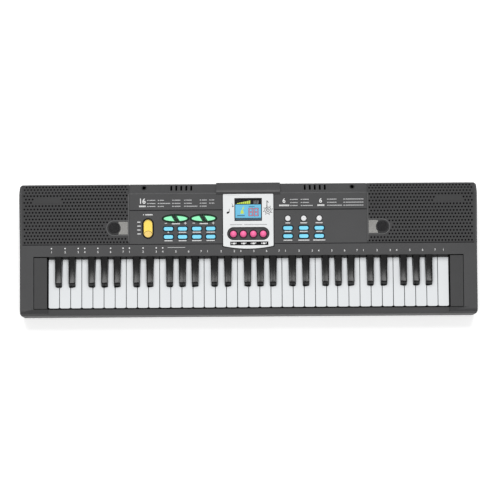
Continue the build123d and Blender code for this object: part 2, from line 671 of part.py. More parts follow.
def make_feet():
    return Compound([rod(x, y, (0, FOOT_H), FOOT_R) for x, y in FOOT_XY])


# ---------------------------------------------------------------- export
save(make_upper_case(), "upper_case")
save(make_lower_case(), "lower_case")
save(make_grilles(), "speaker_grilles")
save(make_round_grilles(), "round_grilles")
save(make_trim_plates(), "trim_plates")
save(make_speaker_baskets(), "speaker_baskets")
save(make_speaker_cones(), "speaker_cones")
save(make_display_panel(), "display_panel")
save(window_plate(-0.1, -1.2, 0), "display_window")
save(window_plate(1.5, -8, -3.2), "display_module")
save(make_main_board(), "main_board")
save(make_button_mats(), "button_mats")
save(make_key_contact_rubbers(), "key_contact_rubbers")
save(make_key_chassis(), "key_chassis")
save(make_key_contact_board(), "key_contact_board")
save(make_battery_cover(), "battery_cover")
save(make_battery_terminals(), "battery_terminals")
save(make_screws(), "case_screws")
save(make_stand_sockets(), "stand_sockets")
save(make_jack_sockets(), "jack_sockets")
save(make_feet(), "rubber_feet")
save(make_switch(), "mode_switch")
for rocker, rocker_x in ROCKER_X.items():
    save(make_rocker(rocker_x), rocker)
for button, button_x, button_y, shape in button_places():
    if button.startswith("drum_pad"):
        save(make_drum_pad(button_x, button_y), button)
    else:
        save(make_button(button_x, button_y, shape, CAP_H), button)
for number in range(OCTAVES):
    for comb_group in RAIL_Y:
        save(make_comb(number, comb_group), f"keys_{number + 1}_{comb_group}")
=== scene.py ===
"""Toy electronic keyboard: the looks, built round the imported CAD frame. Lengths are in millimetres
until a piece is finished, when its mesh is scaled to metres."""

import json
import math

import bmesh
import bpy
from mathutils import Matrix, Vector


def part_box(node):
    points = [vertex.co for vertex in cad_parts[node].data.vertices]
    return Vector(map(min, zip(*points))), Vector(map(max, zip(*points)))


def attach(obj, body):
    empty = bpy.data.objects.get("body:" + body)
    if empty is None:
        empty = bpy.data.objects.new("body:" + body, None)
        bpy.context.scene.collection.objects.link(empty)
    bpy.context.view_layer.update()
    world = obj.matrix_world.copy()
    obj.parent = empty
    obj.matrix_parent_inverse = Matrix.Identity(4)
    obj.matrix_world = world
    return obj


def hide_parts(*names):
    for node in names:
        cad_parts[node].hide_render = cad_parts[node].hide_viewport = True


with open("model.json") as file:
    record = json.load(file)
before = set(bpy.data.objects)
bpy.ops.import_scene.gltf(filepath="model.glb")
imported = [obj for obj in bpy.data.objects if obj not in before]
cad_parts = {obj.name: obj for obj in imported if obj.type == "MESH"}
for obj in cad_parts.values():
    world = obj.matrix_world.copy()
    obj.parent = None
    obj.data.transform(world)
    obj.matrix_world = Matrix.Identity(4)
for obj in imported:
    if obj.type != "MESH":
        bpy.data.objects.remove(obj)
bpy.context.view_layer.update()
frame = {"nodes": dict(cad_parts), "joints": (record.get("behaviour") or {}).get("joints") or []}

MM = 0.001

# -------------------- places read from the frame
JOINTS = {joint["name"]: joint for joint in frame["joints"]}


def box_mm(node):
    """Low and high corners of a node's box, in millimetres."""
    low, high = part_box(node)
    return low / MM, high / MM


UP_SLOPE = Vector(JOINTS["mode_switch_slide"]["axis"])
TILT = math.atan2(UP_SLOPE.z, UP_SLOPE.y)
NORMAL = Vector((0, -math.sin(TILT), math.cos(TILT)))
ROCKER_PIVOT = Vector(JOINTS["volume_rocker_tilt"]["pos_m"]) / MM
PIVOT_DEPTH = 4.9  # from the panel's face down to the rockers' pin
PANEL_POINT = ROCKER_PIVOT + NORMAL * PIVOT_DEPTH
ROCKER_PIVOT_Y = PANEL_POINT.y
GRILLE_HIGH = box_mm("speaker_grilles")[1]


def panel_z(y):
    """Height of the sloping panel at a plan position."""
    return PANEL_POINT.z + (y - PANEL_POINT.y) * math.tan(TILT)


def on_panel(x, y, lift=0.0):
    """Matrix from local coordinates to the sloping panel; local +Z is its outward normal."""
    spot = Vector((x, y, panel_z(y))) + NORMAL * lift
    return Matrix.Translation(spot) @ Matrix.Rotation(TILT, 4, "X")


def up_slope(y, start):
    """Distance along the panel's slope between two plan positions."""
    return (y - start) / math.cos(TILT)


# -------------------- materials
TONE_SCALE = 22.0
GLOSS_SPREAD = 0.06
COAT_ROUGHNESS = 0.12
GRAIN_DEPTH = 0.0002


def plastic(name, color, rough=0.4, spread=0.06, grain=900.0, bump=0.05, coat=0.0, metallic=0.0,
            specular=0.5, alpha=1.0, emission=0.0):
    """Moulded plastic: slow tone variation, uneven gloss and a fine moulded grain."""
    material = bpy.data.materials.new(name)
    material.use_nodes = True
    nodes = material.node_tree.nodes
    links = material.node_tree.links
    shader = nodes["Principled BSDF"]
    shader.inputs["Metallic"].default_value = metallic
    shader.inputs["Coat Weight"].default_value = coat
    shader.inputs["Coat Roughness"].default_value = COAT_ROUGHNESS
    shader.inputs["Specular IOR Level"].default_value = specular
    shader.inputs["Alpha"].default_value = alpha
    where = nodes.new("ShaderNodeTexCoord")
    slow = nodes.new("ShaderNodeTexNoise")
    slow.inputs["Scale"].default_value = TONE_SCALE
    slow.inputs["Detail"].default_value = 4.0
    links.new(where.outputs["Object"], slow.inputs["Vector"])
    ramp = nodes.new("ShaderNodeValToRGB")
    ramp.color_ramp.elements[0].position = 0.3
    ramp.color_ramp.elements[1].position = 0.7
    ramp.color_ramp.elements[0].color = [c * (1 - spread) for c in color] + [1]
    ramp.color_ramp.elements[1].color = [min(1.0, c * (1 + spread)) for c in color] + [1]
    links.new(slow.outputs["Fac"], ramp.inputs["Fac"])
    links.new(ramp.outputs["Color"], shader.inputs["Base Color"])
    if emission:
        links.new(ramp.outputs["Color"], shader.inputs["Emission Color"])
        shader.inputs["Emission Strength"].default_value = emission
    fine = nodes.new("ShaderNodeTexNoise")
    fine.inputs["Scale"].default_value = grain
    fine.inputs["Detail"].default_value = 3.0
    links.new(where.outputs["Object"], fine.inputs["Vector"])
    gloss = nodes.new("ShaderNodeMapRange")
    gloss.inputs["To Min"].default_value = max(0.02, rough - GLOSS_SPREAD)
    gloss.inputs["To Max"].default_value = min(1.0, rough + GLOSS_SPREAD)
    links.new(fine.outputs["Fac"], gloss.inputs["Value"])
    links.new(gloss.outputs["Result"], shader.inputs["Roughness"])
    relief = nodes.new("ShaderNodeBump")
    relief.inputs["Strength"].default_value = bump
    relief.inputs["Distance"].default_value = GRAIN_DEPTH
    links.new(fine.outputs["Fac"], relief.inputs["Height"])
    links.new(relief.outputs["Normal"], shader.inputs["Normal"])
    return material


def clear_window(name):
    """Thin clear acrylic with faint smears in its gloss."""
    material = plastic(name, (0.02, 0.03, 0.03), rough=0.07, spread=0.02, grain=60.0, bump=0.0, alpha=0.07,
                       specular=0.2)
    material.surface_render_method = "BLENDED"
    return material


M = {
    "case": plastic("case_plastic", (0.051, 0.051, 0.0525), 0.38, 0.05, 1500, 0.22, specular=0.28),
    "lower": plastic("lower_case_plastic", (0.030, 0.030, 0.031), 0.55, 0.08, 1200, 0.35),
    "grille": plastic("grille_plastic", (0.037, 0.037, 0.038), 0.42, 0.05, 1500, 0.2, specular=0.28),
    "mesh": plastic("mesh_disc_plastic", (0.003, 0.003, 0.0033), 0.6, 0.1, 1500, 0.2, specular=0.1),
    # Painted shade for the walls and floors of the grille's holes and dimples and the disc's pits.
    "pit_painted_shade": plastic("painted_pit_shade", (0.002, 0.002, 0.0022), 0.8, 0.1, 1500, 0.1, specular=0.08),
    "silver": plastic("silver_paint", (0.185, 0.182, 0.174), 0.34, 0.1, 2500, 0.1, metallic=0.55),
    "basket": plastic("basket_steel", (0.30, 0.30, 0.31), 0.35, 0.1, 600, 0.1, metallic=1.0),
    "cone": plastic("cone_paper", (0.012, 0.012, 0.012), 0.8, 0.2, 800, 0.4),
    "panel": plastic("display_panel_plastic", (0.73, 0.745, 0.75), 0.25, 0.02, 1200, 0.04, coat=0.3),
    "bezel": plastic("display_bezel", (0.004, 0.004, 0.0045), 0.35, 0.1, 900, 0.05, specular=0.15),
    "window": clear_window("display_lens"),
    "board": plastic("circuit_board", (0.03, 0.14, 0.06), 0.35, 0.2, 400, 0.1),
    "silicone": plastic("silicone_rubber", (0.30, 0.30, 0.31), 0.6, 0.08, 700, 0.1),
    # Black moulding for the key bed, jacks and sockets; on the white keys' arms it is painted shade.
    "chassis": plastic("black_moulding_and_arm_shade", (0.014, 0.014, 0.015), 0.5, 0.12, 900, 0.2),
    "cheek": plastic("cheek_plastic", (0.046, 0.046, 0.047), 0.38, 0.06, 1300, 0.25, specular=0.28),
    "nickel": plastic("nickel_plate", (0.62, 0.60, 0.56), 0.25, 0.06, 500, 0.05, metallic=1.0),
    "screw": plastic("zinc_plate", (0.35, 0.35, 0.34), 0.35, 0.1, 500, 0.1, metallic=1.0),
    "foot": plastic("foot_rubber", (0.018, 0.018, 0.018), 0.8, 0.15, 900, 0.4),
    "white_key": plastic("white_key_plastic", (0.735, 0.755, 0.77), 0.26, 0.012, 900, 0.03, coat=0.25),
    "black_key": plastic("black_key_plastic", (0.002, 0.002, 0.0022), 0.21, 0.1, 1500, 0.06, specular=0.48),
    "blue": plastic("blue_button_plastic", (0.16, 0.66, 0.90), 0.3, 0.05, 900, 0.05, coat=0.2),
    # Dark blue skirt: painted shade seen in the gap round a blue button.
    "blue_skirt_shade": plastic("blue_skirt_painted_shade", (0.003, 0.034, 0.06), 0.5, 0.1, 900, 0.05),
    "green": plastic("green_rocker_plastic", (0.25, 0.93, 0.48), 0.3, 0.06, 900, 0.05, coat=0.2),
    # Dark green skirt: painted shade on the sides of a rocker's caps.
    "green_skirt_shade": plastic("green_skirt_painted_shade", (0.003, 0.05, 0.018), 0.5, 0.1, 900, 0.05),
    # Rim colours: painted shade round the blue buttons and the green rockers, tinted by the controls' colour
    # as painted reflection.
    "blue_rim": plastic("blue_rim_painted_shade", (0.0035, 0.012, 0.02), 0.55, 0.1, 900, 0.05, specular=0.15),
    "green_rim": plastic("green_rim_painted_shade", (0.0035, 0.018, 0.009), 0.55, 0.1, 900, 0.05, specular=0.15),
    # Light grey: the ridge round the disc, and a painted highlight along the seam line.
    "rim_grey_and_seam_highlight": plastic("recess_rim_and_seam_highlight", (0.125, 0.125, 0.127), 0.4, 0.05, 1500, 0.1, specular=0.3),
    "pink": plastic("pink_pad_rubber", (0.99, 0.15, 0.37), 0.42, 0.08, 900, 0.08),
    "pearl": plastic("round_button_plastic", (0.72, 0.72, 0.73), 0.28, 0.02, 900, 0.04, coat=0.2),
    "amber": plastic("switch_grip_plastic", (0.80, 0.55, 0.12), 0.34, 0.06, 900, 0.06, coat=0.1),
    "yellow": plastic("switch_plastic", (1.0, 0.69, 0.07), 0.34, 0.06, 900, 0.06, coat=0.1),
    "ink_white": plastic("white_ink", (0.80, 0.80, 0.80), 0.5, 0.05, 900, 0.05),
    "ink_soft": plastic("soft_white_ink", (0.60, 0.60, 0.61), 0.5, 0.08, 900, 0.05),
    "grey": plastic("grey_ink", (0.30, 0.30, 0.31), 0.5, 0.06, 900, 0.05),
    # Dark ink for the printed marks; on the rims, the switch's crescent and the lines round the panels and in
    # the grooves it is painted shade.
    "ink_dark_and_shade": plastic("dark_ink_and_painted_shade", (0.005, 0.005, 0.006), 0.6, 0.1, 900, 0.05, specular=0.12),
    # The screen colours glow by emission: a painted glow, with no lamp behind the display.
    "sky": plastic("screen_blue", (0.13, 0.50, 0.74), 0.35, 0.04, 120, 0.0, emission=0.25),
    "lime": plastic("screen_lime", (0.55, 0.70, 0.07), 0.35, 0.08, 120, 0.0, emission=0.25),
    "rose": plastic("screen_rose", (0.72, 0.32, 0.42), 0.35, 0.05, 120, 0.0, emission=0.2),
    # Wine: the digits' colour, and painted shade on the drum pads' flanges.
    "wine": plastic("screen_wine_and_pad_edge_shade", (0.20, 0.02, 0.09), 0.35, 0.1, 120, 0.0, emission=0.1),
    "navy": plastic("screen_navy", (0.02, 0.09, 0.14), 0.35, 0.1, 120, 0.0),
}


# -------------------- mesh building
def rounded_rectangle(width, height, radius, steps=5, cy=0.0):
    points = []
    for corner in range(4):
        sx = (1, -1, -1, 1)[corner]
        sy = (1, 1, -1, -1)[corner]
        for i in range(steps + 1):
            a = math.radians(90 * corner + 90 * i / steps)
            points.append((sx * (width / 2 - radius) + radius * math.cos(a),
                           cy + sy * (height / 2 - radius) + radius * math.sin(a)))
    return points


def circle(radius, steps=40):
    angles = [2 * math.pi * i / steps for i in range(steps)]
    return [(radius * math.cos(a), radius * math.sin(a)) for a in angles]


def rectangle(x0, x1, y0, y1):
    return [(x0, y0), (x1, y0), (x1, y1), (x0, y1)]


def area_sign(outline):
    """1 for an outline that runs anticlockwise, -1 for one that runs clockwise."""
    total = sum(a[0] * b[1] - b[0] * a[1] for a, b in zip(outline, outline[1:] + outline[:1]))
    return 1 if total > 0 else -1


def prism(outline, low, high, bevel=0.0, segments=3, under=0.0):
    """Upright solid on a flat outline; bevel rounds its top edges, under its bottom ones."""
    if area_sign(outline) < 0:
        outline = outline[::-1]
    bm = bmesh.new()
    lower = [bm.verts.new((x, y, low)) for x, y in outline]
    upper = [bm.verts.new((x, y, high)) for x, y in outline]
    bm.faces.new(lower[::-1])
    bm.faces.new(upper)
    for i in range(len(outline)):
        j = (i + 1) % len(outline)
        bm.faces.new((lower[i], lower[j], upper[j], upper[i]))
    for ring, width in ((upper, bevel), (lower, under)):
        if width:
            edges = [bm.edges.get((ring[i], ring[(i + 1) % len(ring)])) for i in range(len(ring))]
            bmesh.ops.bevel(bm, geom=edges, offset=width, segments=segments, profile=0.5,
                            affect="EDGES", clamp_overlap=True)
    return bm


def box(x, y, z, bevel=0.0, segments=2):
    """Block with all its edges rounded."""
    bm = prism(rectangle(x[0], x[1], y[0], y[1]), z[0], z[1])
    if bevel:
        bmesh.ops.bevel(bm, geom=bm.edges[:], offset=bevel, segments=segments, profile=0.5,
                        affect="EDGES", clamp_overlap=True)
    return bm


def lathe(profile, steps=48):
    """Solid of revolution about local Z from (radius, height) points, from the axis to the axis."""
    bm = bmesh.new()
    rings = []
    for r, z in profile:
        if r < 1e-6:
            rings.append([bm.verts.new((0, 0, z))])
        else:
            rings.append([bm.verts.new((r * math.cos(2 * math.pi * i / steps),
                                        r * math.sin(2 * math.pi * i / steps), z)) for i in range(steps)])
    for a, b in zip(rings, rings[1:]):
        for i in range(steps):
            j = (i + 1) % steps
            if len(a) == 1:
                bm.faces.new((a[0], b[i], b[j]))
            elif len(b) == 1:
                bm.faces.new((a[i], b[0], a[j]))
            else:
                bm.faces.new((a[i], b[i], b[j], a[j]))
    bmesh.ops.recalc_face_normals(bm, faces=bm.faces)
    return bm


def moved(bm, matrix):
    bm.transform(matrix)
    return bm


def piece(name, parts, material, body, replaces=(), smooth_angle=38.0, pit_shade_material=None):
    """One object from bmesh parts in millimetres; a part may be (bmesh, other material).
    Faces that carry material index 1 get the second material, painted shade for the walls and floors of holes
    and dimples."""
    joined = bmesh.new()
    materials = [material]
    if pit_shade_material:
        materials.append(pit_shade_material)
    pit_index = 1 if pit_shade_material else 0
    for part in parts:
        bm, extra = part if isinstance(part, tuple) else (part, material)
        if extra not in materials:
            materials.append(extra)
        for face in bm.faces:
            face.material_index = materials.index(extra) if face.material_index == 0 else pit_index
        scratch = bpy.data.meshes.new("scratch")
        bm.to_mesh(scratch)
        joined.from_mesh(scratch)
        bpy.data.meshes.remove(scratch)
        bm.free()
    joined.transform(Matrix.Scale(MM, 4))
    for face in joined.faces:
        face.smooth = True
    limit = math.radians(smooth_angle)
    for edge in joined.edges:
        if len(edge.link_faces) == 2 and edge.calc_face_angle(0) > limit:
            edge.smooth = False
    mesh = bpy.data.meshes.new(name)
    joined.to_mesh(mesh)
    joined.free()
    for item in materials:
        mesh.materials.append(item)
    obj = bpy.data.objects.new(name, mesh)
    bpy.context.collection.objects.link(obj)
    weigh = obj.modifiers.new("normals", "WEIGHTED_NORMAL")
    weigh.keep_sharp = True
    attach(obj, body)
    if replaces:
        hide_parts(*replaces)
    return obj


def softened(node, name, material, body, width, angle=35.0, segments=2):
    """Copy of a CAD node with all its sharp edges rounded, standing for the node."""
    bm = bmesh.new()
    bm.from_mesh(frame["nodes"][node].data)
    bmesh.ops.remove_doubles(bm, verts=bm.verts, dist=1e-6)
    bmesh.ops.dissolve_limit(bm, angle_limit=math.radians(0.5), verts=bm.verts, edges=bm.edges)
    for face in bm.faces:
        face.smooth = True
        face.material_index = 0
    mesh = bpy.data.meshes.new(name)
    bm.to_mesh(mesh)
    bm.free()
    mesh.materials.clear()
    mesh.materials.append(material)
    obj = bpy.data.objects.new(name, mesh)
    bpy.context.collection.objects.link(obj)
    round_off = obj.modifiers.new("edges", "BEVEL")
    round_off.width = width * MM
    round_off.segments = segments
    round_off.limit_method = "ANGLE"
    round_off.angle_limit = math.radians(angle)
    round_off.use_clamp_overlap = True
    weigh = obj.modifiers.new("normals", "WEIGHTED_NORMAL")
    weigh.keep_sharp = True
    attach(obj, body)
    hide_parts(node)
    return obj


def restyle(node, material):
    """Gives a CAD node that stays its procedural material."""
    data = frame["nodes"][node].data
    data.materials.clear()
    data.materials.append(material)


# -------------------- case
softened("upper_case", "upper_case_shell", M["case"], "case", 0.35)
softened("lower_case", "lower_case_tub", M["lower"], "case", 0.5)
CHEEK_FLOOR = 0.036  # metres; upward faces above it get the cheeks' plastic
bed = softened("key_chassis", "key_bed", M["chassis"], "case", 0.5)
bed.data.materials.append(M["cheek"])
for face in bed.data.polygons:
    if face.center.z > CHEEK_FLOOR and face.normal.z > 0.3:
        face.material_index = 1
softened("display_panel", "display_panel_plate", M["panel"], "case", 0.35)
softened("rubber_feet", "feet", M["foot"], "case", 0.5)
softened("case_screws", "screws", M["screw"], "case", 0.15)
softened("jack_sockets", "jacks", M["chassis"], "case", 0.3)
softened("stand_sockets", "stand_leg_sockets", M["chassis"], "case", 0.25)
softened("battery_cover", "battery_door", M["lower"], "battery_cover", 0.3)
for node, material in (("speaker_baskets", "basket"), ("speaker_cones", "cone"), ("main_board", "board"),
                       ("key_contact_board", "board"), ("button_mats", "silicone"),
                       ("key_contact_rubbers", "silicone"), ("battery_terminals", "nickel")):
    restyle(node, M[material])


# -------------------- speaker grilles
HOLE_PITCH = 5.27
HOLE_ROWS = 18
HOLE_COLUMNS = 32
HOLE_R = 1.5
DIMPLE_DEPTH = 1.2
GRILLE_T = 1.5
GRILLE_X0 = 190.9
GRILLE_Y0 = 11.9 - HOLE_PITCH / 2
SPEAKER = Vector((263.0, 53.5))
SPEAKER_R = 29.0
BADGE = ((298.0, 343.0), (73.0, 82.6))
BEND_Y = 88.3
REAR_EDGE = (105.0, 46.0)
SEAM_Y0 = 12.2
DISC_LOW, DISC_HIGH = box_mm("round_grilles")
DISC_R = (DISC_HIGH.y - DISC_LOW.y) / 2
DISC = Vector((DISC_HIGH.x - DISC_R, (DISC_LOW.y + DISC_HIGH.y) / 2))
MESH_R = 9.2
TAB_HALF = 10.25
KEYHOLE_R = 12.3
KEYHOLE_RIM = 0.9
DISC_MARGIN = 2.2
TAB_MARGIN = 1.6
RIB_HALF_X = 3
RIB_HALF_Y = 14
BADGE_PLATE = (42, 7, 1.2)
SUNK = -0.2
RAISED = 0.4
REAR_FALL = (panel_z(BEND_Y) - REAR_EDGE[1]) / (REAR_EDGE[0] - BEND_Y)


def skin_z(y):
    """Height of the case's top skin: the panel, a rounded bend, then the rear slope."""
    reach = 1.2
    if y < BEND_Y - reach:
        return panel_z(y)
    if y > BEND_Y + reach:
        return panel_z(BEND_Y) - (y - BEND_Y) * REAR_FALL
    t = (y - BEND_Y + reach) / (2 * reach)
    start = panel_z(BEND_Y - reach)
    end = panel_z(BEND_Y) - reach * REAR_FALL
    return (1 - t) ** 2 * start + 2 * t * (1 - t) * panel_z(BEND_Y) + t ** 2 * end


def pitted_cell(bm, x, y, half, kind, thickness, depth, radius):
    """One cell of a perforated plate, with a hole, a dimple or nothing in its middle.
    half is (half width, reach towards -Y, reach towards +Y). The walls of a hole or a dimple and a dimple's
    floor get material 1, painted shade."""
    w, down, up = half
    border = [(x + w, y), (x + w, y + up), (x, y + up), (x - w, y + up),
              (x - w, y), (x - w, y - down), (x, y - down), (x + w, y - down)]
    if kind == "edge":
        border = [point for point in border if abs(point[0] - x) > w / 2]
    top_rim = [bm.verts.new((px, py, 0)) for px, py in border]
    low_rim = [bm.verts.new((px, py, -thickness)) for px, py in border]
    if kind != "hole":
        bm.faces.new(low_rim[::-1])
    if kind in ("plain", "edge"):
        bm.faces.new(top_rim)
        return
    deep = thickness if kind == "hole" else depth
    steps = 16
    angles = [2 * math.pi * i / steps for i in range(steps)]
    top = [bm.verts.new((x + radius * math.cos(a), y + radius * math.sin(a), 0)) for a in angles]
    low = [bm.verts.new((x + radius * math.cos(a), y + radius * math.sin(a), -deep)) for a in angles]
    per = steps // 8
    for i in range(8):
        arc = [(i * per + k) % steps for k in range(per, -1, -1)]
        bm.faces.new([top_rim[i], top_rim[(i + 1) % 8]] + [top[k] for k in arc])
        if kind == "hole":
            bm.faces.new([low_rim[(i + 1) % 8], low_rim[i]] + [low[k] for k in arc[::-1]])
    for i in range(steps):
        j = (i + 1) % steps
        bm.faces.new((top[j], top[i], low[i], low[j])).material_index = 1
    if kind == "dimple":
        bm.faces.new(low).material_index = 1


def close_rim(bm, thickness):
    """Merges the cells and walls in the plate's outer edge."""
    bmesh.ops.remove_doubles(bm, verts=bm.verts, dist=1e-3)
    below = {}
    for vert in bm.verts:
        if vert.co.z < -thickness / 2:
            below[(round(vert.co.x, 2), round(vert.co.y, 2))] = vert
    open_edges = [edge for edge in bm.edges if edge.is_boundary and edge.verts[0].co.z > -thickness / 2]
    for edge in open_edges:
        a, b = edge.verts
        feet = [below.get((round(v.co.x, 2), round(v.co.y, 2))) for v in (b, a)]
        if all(feet):
            bm.faces.new((a, b, *feet))
    bmesh.ops.recalc_face_normals(bm, faces=bm.faces)


def grille_kind(x, y):
    """What a grille cell holds, on the right-hand side."""
    near_disc = math.hypot(x - DISC.x, y - DISC.y) < KEYHOLE_R + DISC_MARGIN
    near_tab = x < DISC.x and abs(y - DISC.y) < KEYHOLE_R + TAB_MARGIN
    in_badge = BADGE[0][0] < x < BADGE[0][1] and BADGE[1][0] < y < BADGE[1][1]
    if near_disc or near_tab or in_badge:
        return "plain"
    dx = abs(x - SPEAKER.x)
    dy = abs(y - SPEAKER.y)
    on_rib = dy < HOLE_PITCH / 2 or (dx < RIB_HALF_X and dy < RIB_HALF_Y)
    return "hole" if math.hypot(dx, dy) < SPEAKER_R and not on_rib else "dimple"


def grille_plate():
    """Perforated plate that bends over the rear edge of the panel, on the right-hand side."""
    bm = bmesh.new()
    last_edge = GRILLE_HIGH.y
    right_edge = GRILLE_HIGH.x
    half = HOLE_PITCH / 2
    for row in range(HOLE_ROWS):
        y0 = GRILLE_Y0 + row * HOLE_PITCH
        y1 = min(y0 + HOLE_PITCH, last_edge)
        y = (y0 + y1) / 2
        rows = (y - y0, y1 - y)
        shifted = row % 2
        for column in range(HOLE_COLUMNS - shifted):
            x = GRILLE_X0 + (column + 0.5 + 0.5 * shifted) * HOLE_PITCH
            pitted_cell(bm, x, y, (half, *rows), grille_kind(x, y), GRILLE_T, DIMPLE_DEPTH, HOLE_R)
        cells_end = GRILLE_X0 + HOLE_COLUMNS * HOLE_PITCH
        fills = [(cells_end, right_edge)]
        if shifted:
            fills.append((GRILLE_X0, GRILLE_X0 + half))
            fills.append((GRILLE_X0 + (HOLE_COLUMNS - 0.5) * HOLE_PITCH, cells_end))
        for x0, x1 in fills:
            pitted_cell(bm, (x0 + x1) / 2, y, ((x1 - x0) / 2, *rows), "edge", GRILLE_T, 0, 0)
    close_rim(bm, GRILLE_T)
    for vert in bm.verts:
        vert.co.z += skin_z(vert.co.y)
    return bm


def keyhole(radius, x_end):
    """Outline of the recess round the disc and the tab, about the disc's centre."""
    arc = [(radius * math.cos(a), radius * math.sin(a))
           for a in (math.radians(-90 + 7.5 * i) for i in range(25))]
    return [(x_end, -radius)] + arc + [(x_end, radius)]


def strip(outer, inner, low, high, bevel):
    """Closed raised strip between two matching outlines."""
    bm = bmesh.new()
    loops = []
    for outline, z in ((outer, low), (outer, high), (inner, high), (inner, low)):
        loops.append([bm.verts.new((x, y, z)) for x, y in outline])
    count = len(outer)
    for a, b in zip(loops, loops[1:] + loops[:1]):
        for i in range(count):
            j = (i + 1) % count
            bm.faces.new((a[i], a[j], b[j], b[i]))
    if bevel:
        crest = [bm.edges.get((loop[i], loop[(i + 1) % count]))
                 for loop in loops[1:3] for i in range(count)]
        bmesh.ops.bevel(bm, geom=crest, offset=bevel, segments=2, profile=0.5, affect="EDGES",
                        clamp_overlap=True)
    bmesh.ops.recalc_face_normals(bm, faces=bm.faces)
    return bm


def mesh_disc():
    """Round disc with a fine pattern of pits inside a plain rim."""
    pitch = 1.5
    thickness = 0.6
    pit_depth = 0.45
    pit_r = 0.5
    cell = (pitch / 2, pitch / 2, pitch / 2)
    bm = bmesh.new()
    reach = int(MESH_R / pitch) + 1
    for row in range(-reach, reach + 1):
        for column in range(-reach, reach + 1):
            x = (column + 0.5 * (row % 2)) * pitch
            y = row * pitch
            if math.hypot(x, y) < MESH_R - 0.3:
                pitted_cell(bm, x, y, cell, "dimple", thickness, pit_depth, pit_r)
    bmesh.ops.remove_doubles(bm, verts=bm.verts, dist=1e-4)
    return moved(bm, Matrix.Translation((0, 0, 0.15)))


def disc_ring():
    """Raised ring round the mesh disc."""
    return lathe([(MESH_R - 0.1, SUNK), (MESH_R - 0.1, 0.9), (MESH_R + 0.25, 1.15), (MESH_R + 0.75, 1.1),
                  (MESH_R + 1.1, 0.7), (MESH_R + 1.2, SUNK), (MESH_R - 0.1, SUNK)])


def recess_rim():
    """Thin ridge round the disc and the tab."""
    seam_x = GRILLE_X0 - DISC.x
    inner = keyhole(KEYHOLE_R - KEYHOLE_RIM, seam_x + KEYHOLE_RIM)
    return strip(keyhole(KEYHOLE_R, seam_x), inner, SUNK, 0.55, 0.2)


def silver_tab():
    """Plate between the disc and the middle panel, cut round the disc."""
    bite = MESH_R + 1.3
    seam_x = GRILLE_X0 - DISC.x + 1.2
    arc = [(-bite * math.cos(math.radians(a)), bite * math.sin(math.radians(a))) for a in range(-48, 49, 8)]
    front = [(seam_x, -TAB_HALF), (arc[0][0], -TAB_HALF)]
    rear = [(arc[0][0], TAB_HALF), (seam_x, TAB_HALF)]
    return prism(front + arc + rear, SUNK, RAISED, 0.2)


def blank_badge():
    """Plain plate where the badge would be."""
    plate = prism(rounded_rectangle(*BADGE_PLATE), SUNK, RAISED, 0.3)
    return moved(plate, on_panel(sum(BADGE[0]) / 2, sum(BADGE[1]) / 2))


def seam_line():
    """Thin light grey line where the grille meets the middle panel: a painted highlight on the seam's edge.
    """
    line = box((-0.3, 0.3), (0, (BEND_Y - SEAM_Y0) / math.cos(TILT)), (-0.3, 0.16))
    return moved(line, on_panel(GRILLE_X0, SEAM_Y0))


def flipped(bm, side):
    """Mirrors a part built on the right-hand side when side is -1."""
    if side < 0:
        bm.transform(Matrix.Scale(-1, 4, (1, 0, 0)))
        bmesh.ops.reverse_faces(bm, faces=bm.faces)
    return bm


for side, word in ((-1, "left"), (1, "right")):
    at_disc = on_panel(DISC.x, DISC.y)
    piece(f"grille_{word}", [flipped(grille_plate(), side)], M["grille"], "case",
          ["speaker_grilles"], 25, M["pit_painted_shade"])
    piece(f"blank_badge_{word}", [flipped(blank_badge(), side)], M["grille"], "case")
    piece(f"seam_line_{word}", [flipped(seam_line(), side)], M["rim_grey_and_seam_highlight"], "case")
    parts = [(flipped(moved(recess_rim(), at_disc), side), M["rim_grey_and_seam_highlight"]),
             (flipped(moved(disc_ring(), at_disc), side), M["grille"]),
             flipped(moved(mesh_disc(), at_disc), side)]
    piece(f"mesh_disc_{word}", parts, M["mesh"], "case", ["round_grilles"], 25, M["pit_painted_shade"])
    piece(f"silver_tab_{word}", [flipped(moved(silver_tab(), at_disc), side)], M["silver"], "case",
          ["trim_plates"])


# -------------------- keys
WHITE_PITCH = 17.78
WHITE_KEYS = 36
OCTAVE = 7 * WHITE_PITCH
KEYS_X0 = -WHITE_KEYS / 2 * WHITE_PITCH
OCTAVES = 5
KEY_GAP = 0.9
KEY_HIGH = 38.0
KEY_LOW = 34.5
KEY_LIP = 26.0
KEY_LIP_T = 2.6
FRONT_Y = -92.6
REAR_Y = -14.3
WAIST_Y = -59.6
BLACK_FRONT = -58.8
BLACK_REAR = -10.9
BLACK_HIGH = 48.0
BLACK_HALF = 5.5
BLACK_TOP_HALF = 5.25
BLACK_CLEAR = 0.25
BLACK_STATIONS = ((BLACK_REAR, 0.0), (-20.0, 0.0), (-27.0, 0.1), (-34.0, 0.35), (-41.0, 0.85), (-47.0, 1.5),
                  (-52.2, 2.2), (-53.6, 2.7), (-54.8, 3.9), (-57.0, 7.8), (BLACK_FRONT, 10.6))
HALF_CROWN = [(1.0, 1.1), (0.975, 0.7), (0.91, 0.37), (0.79, 0.16), (0.52, 0.04)]
CROWN = [(-x, drop) for x, drop in HALF_CROWN] + [(0, 0)] + HALF_CROWN[::-1]
BLACKS = {"c_sharp": 16.7, "d_sharp": 38.2, "f_sharp": 69.6, "g_sharp": 90.0, "a_sharp": 110.2}
WHITES = "cdefgab"
COMB_OF = {note: ("cegb" if note in "cegb" else "dfa") for note in WHITES}
RAIL_R = 1.6
ARM_HIGH = 36.7
BLACK_ARM_HALF = 3.75
CORNER_X = 3.8
CORNER_Y = 1.5


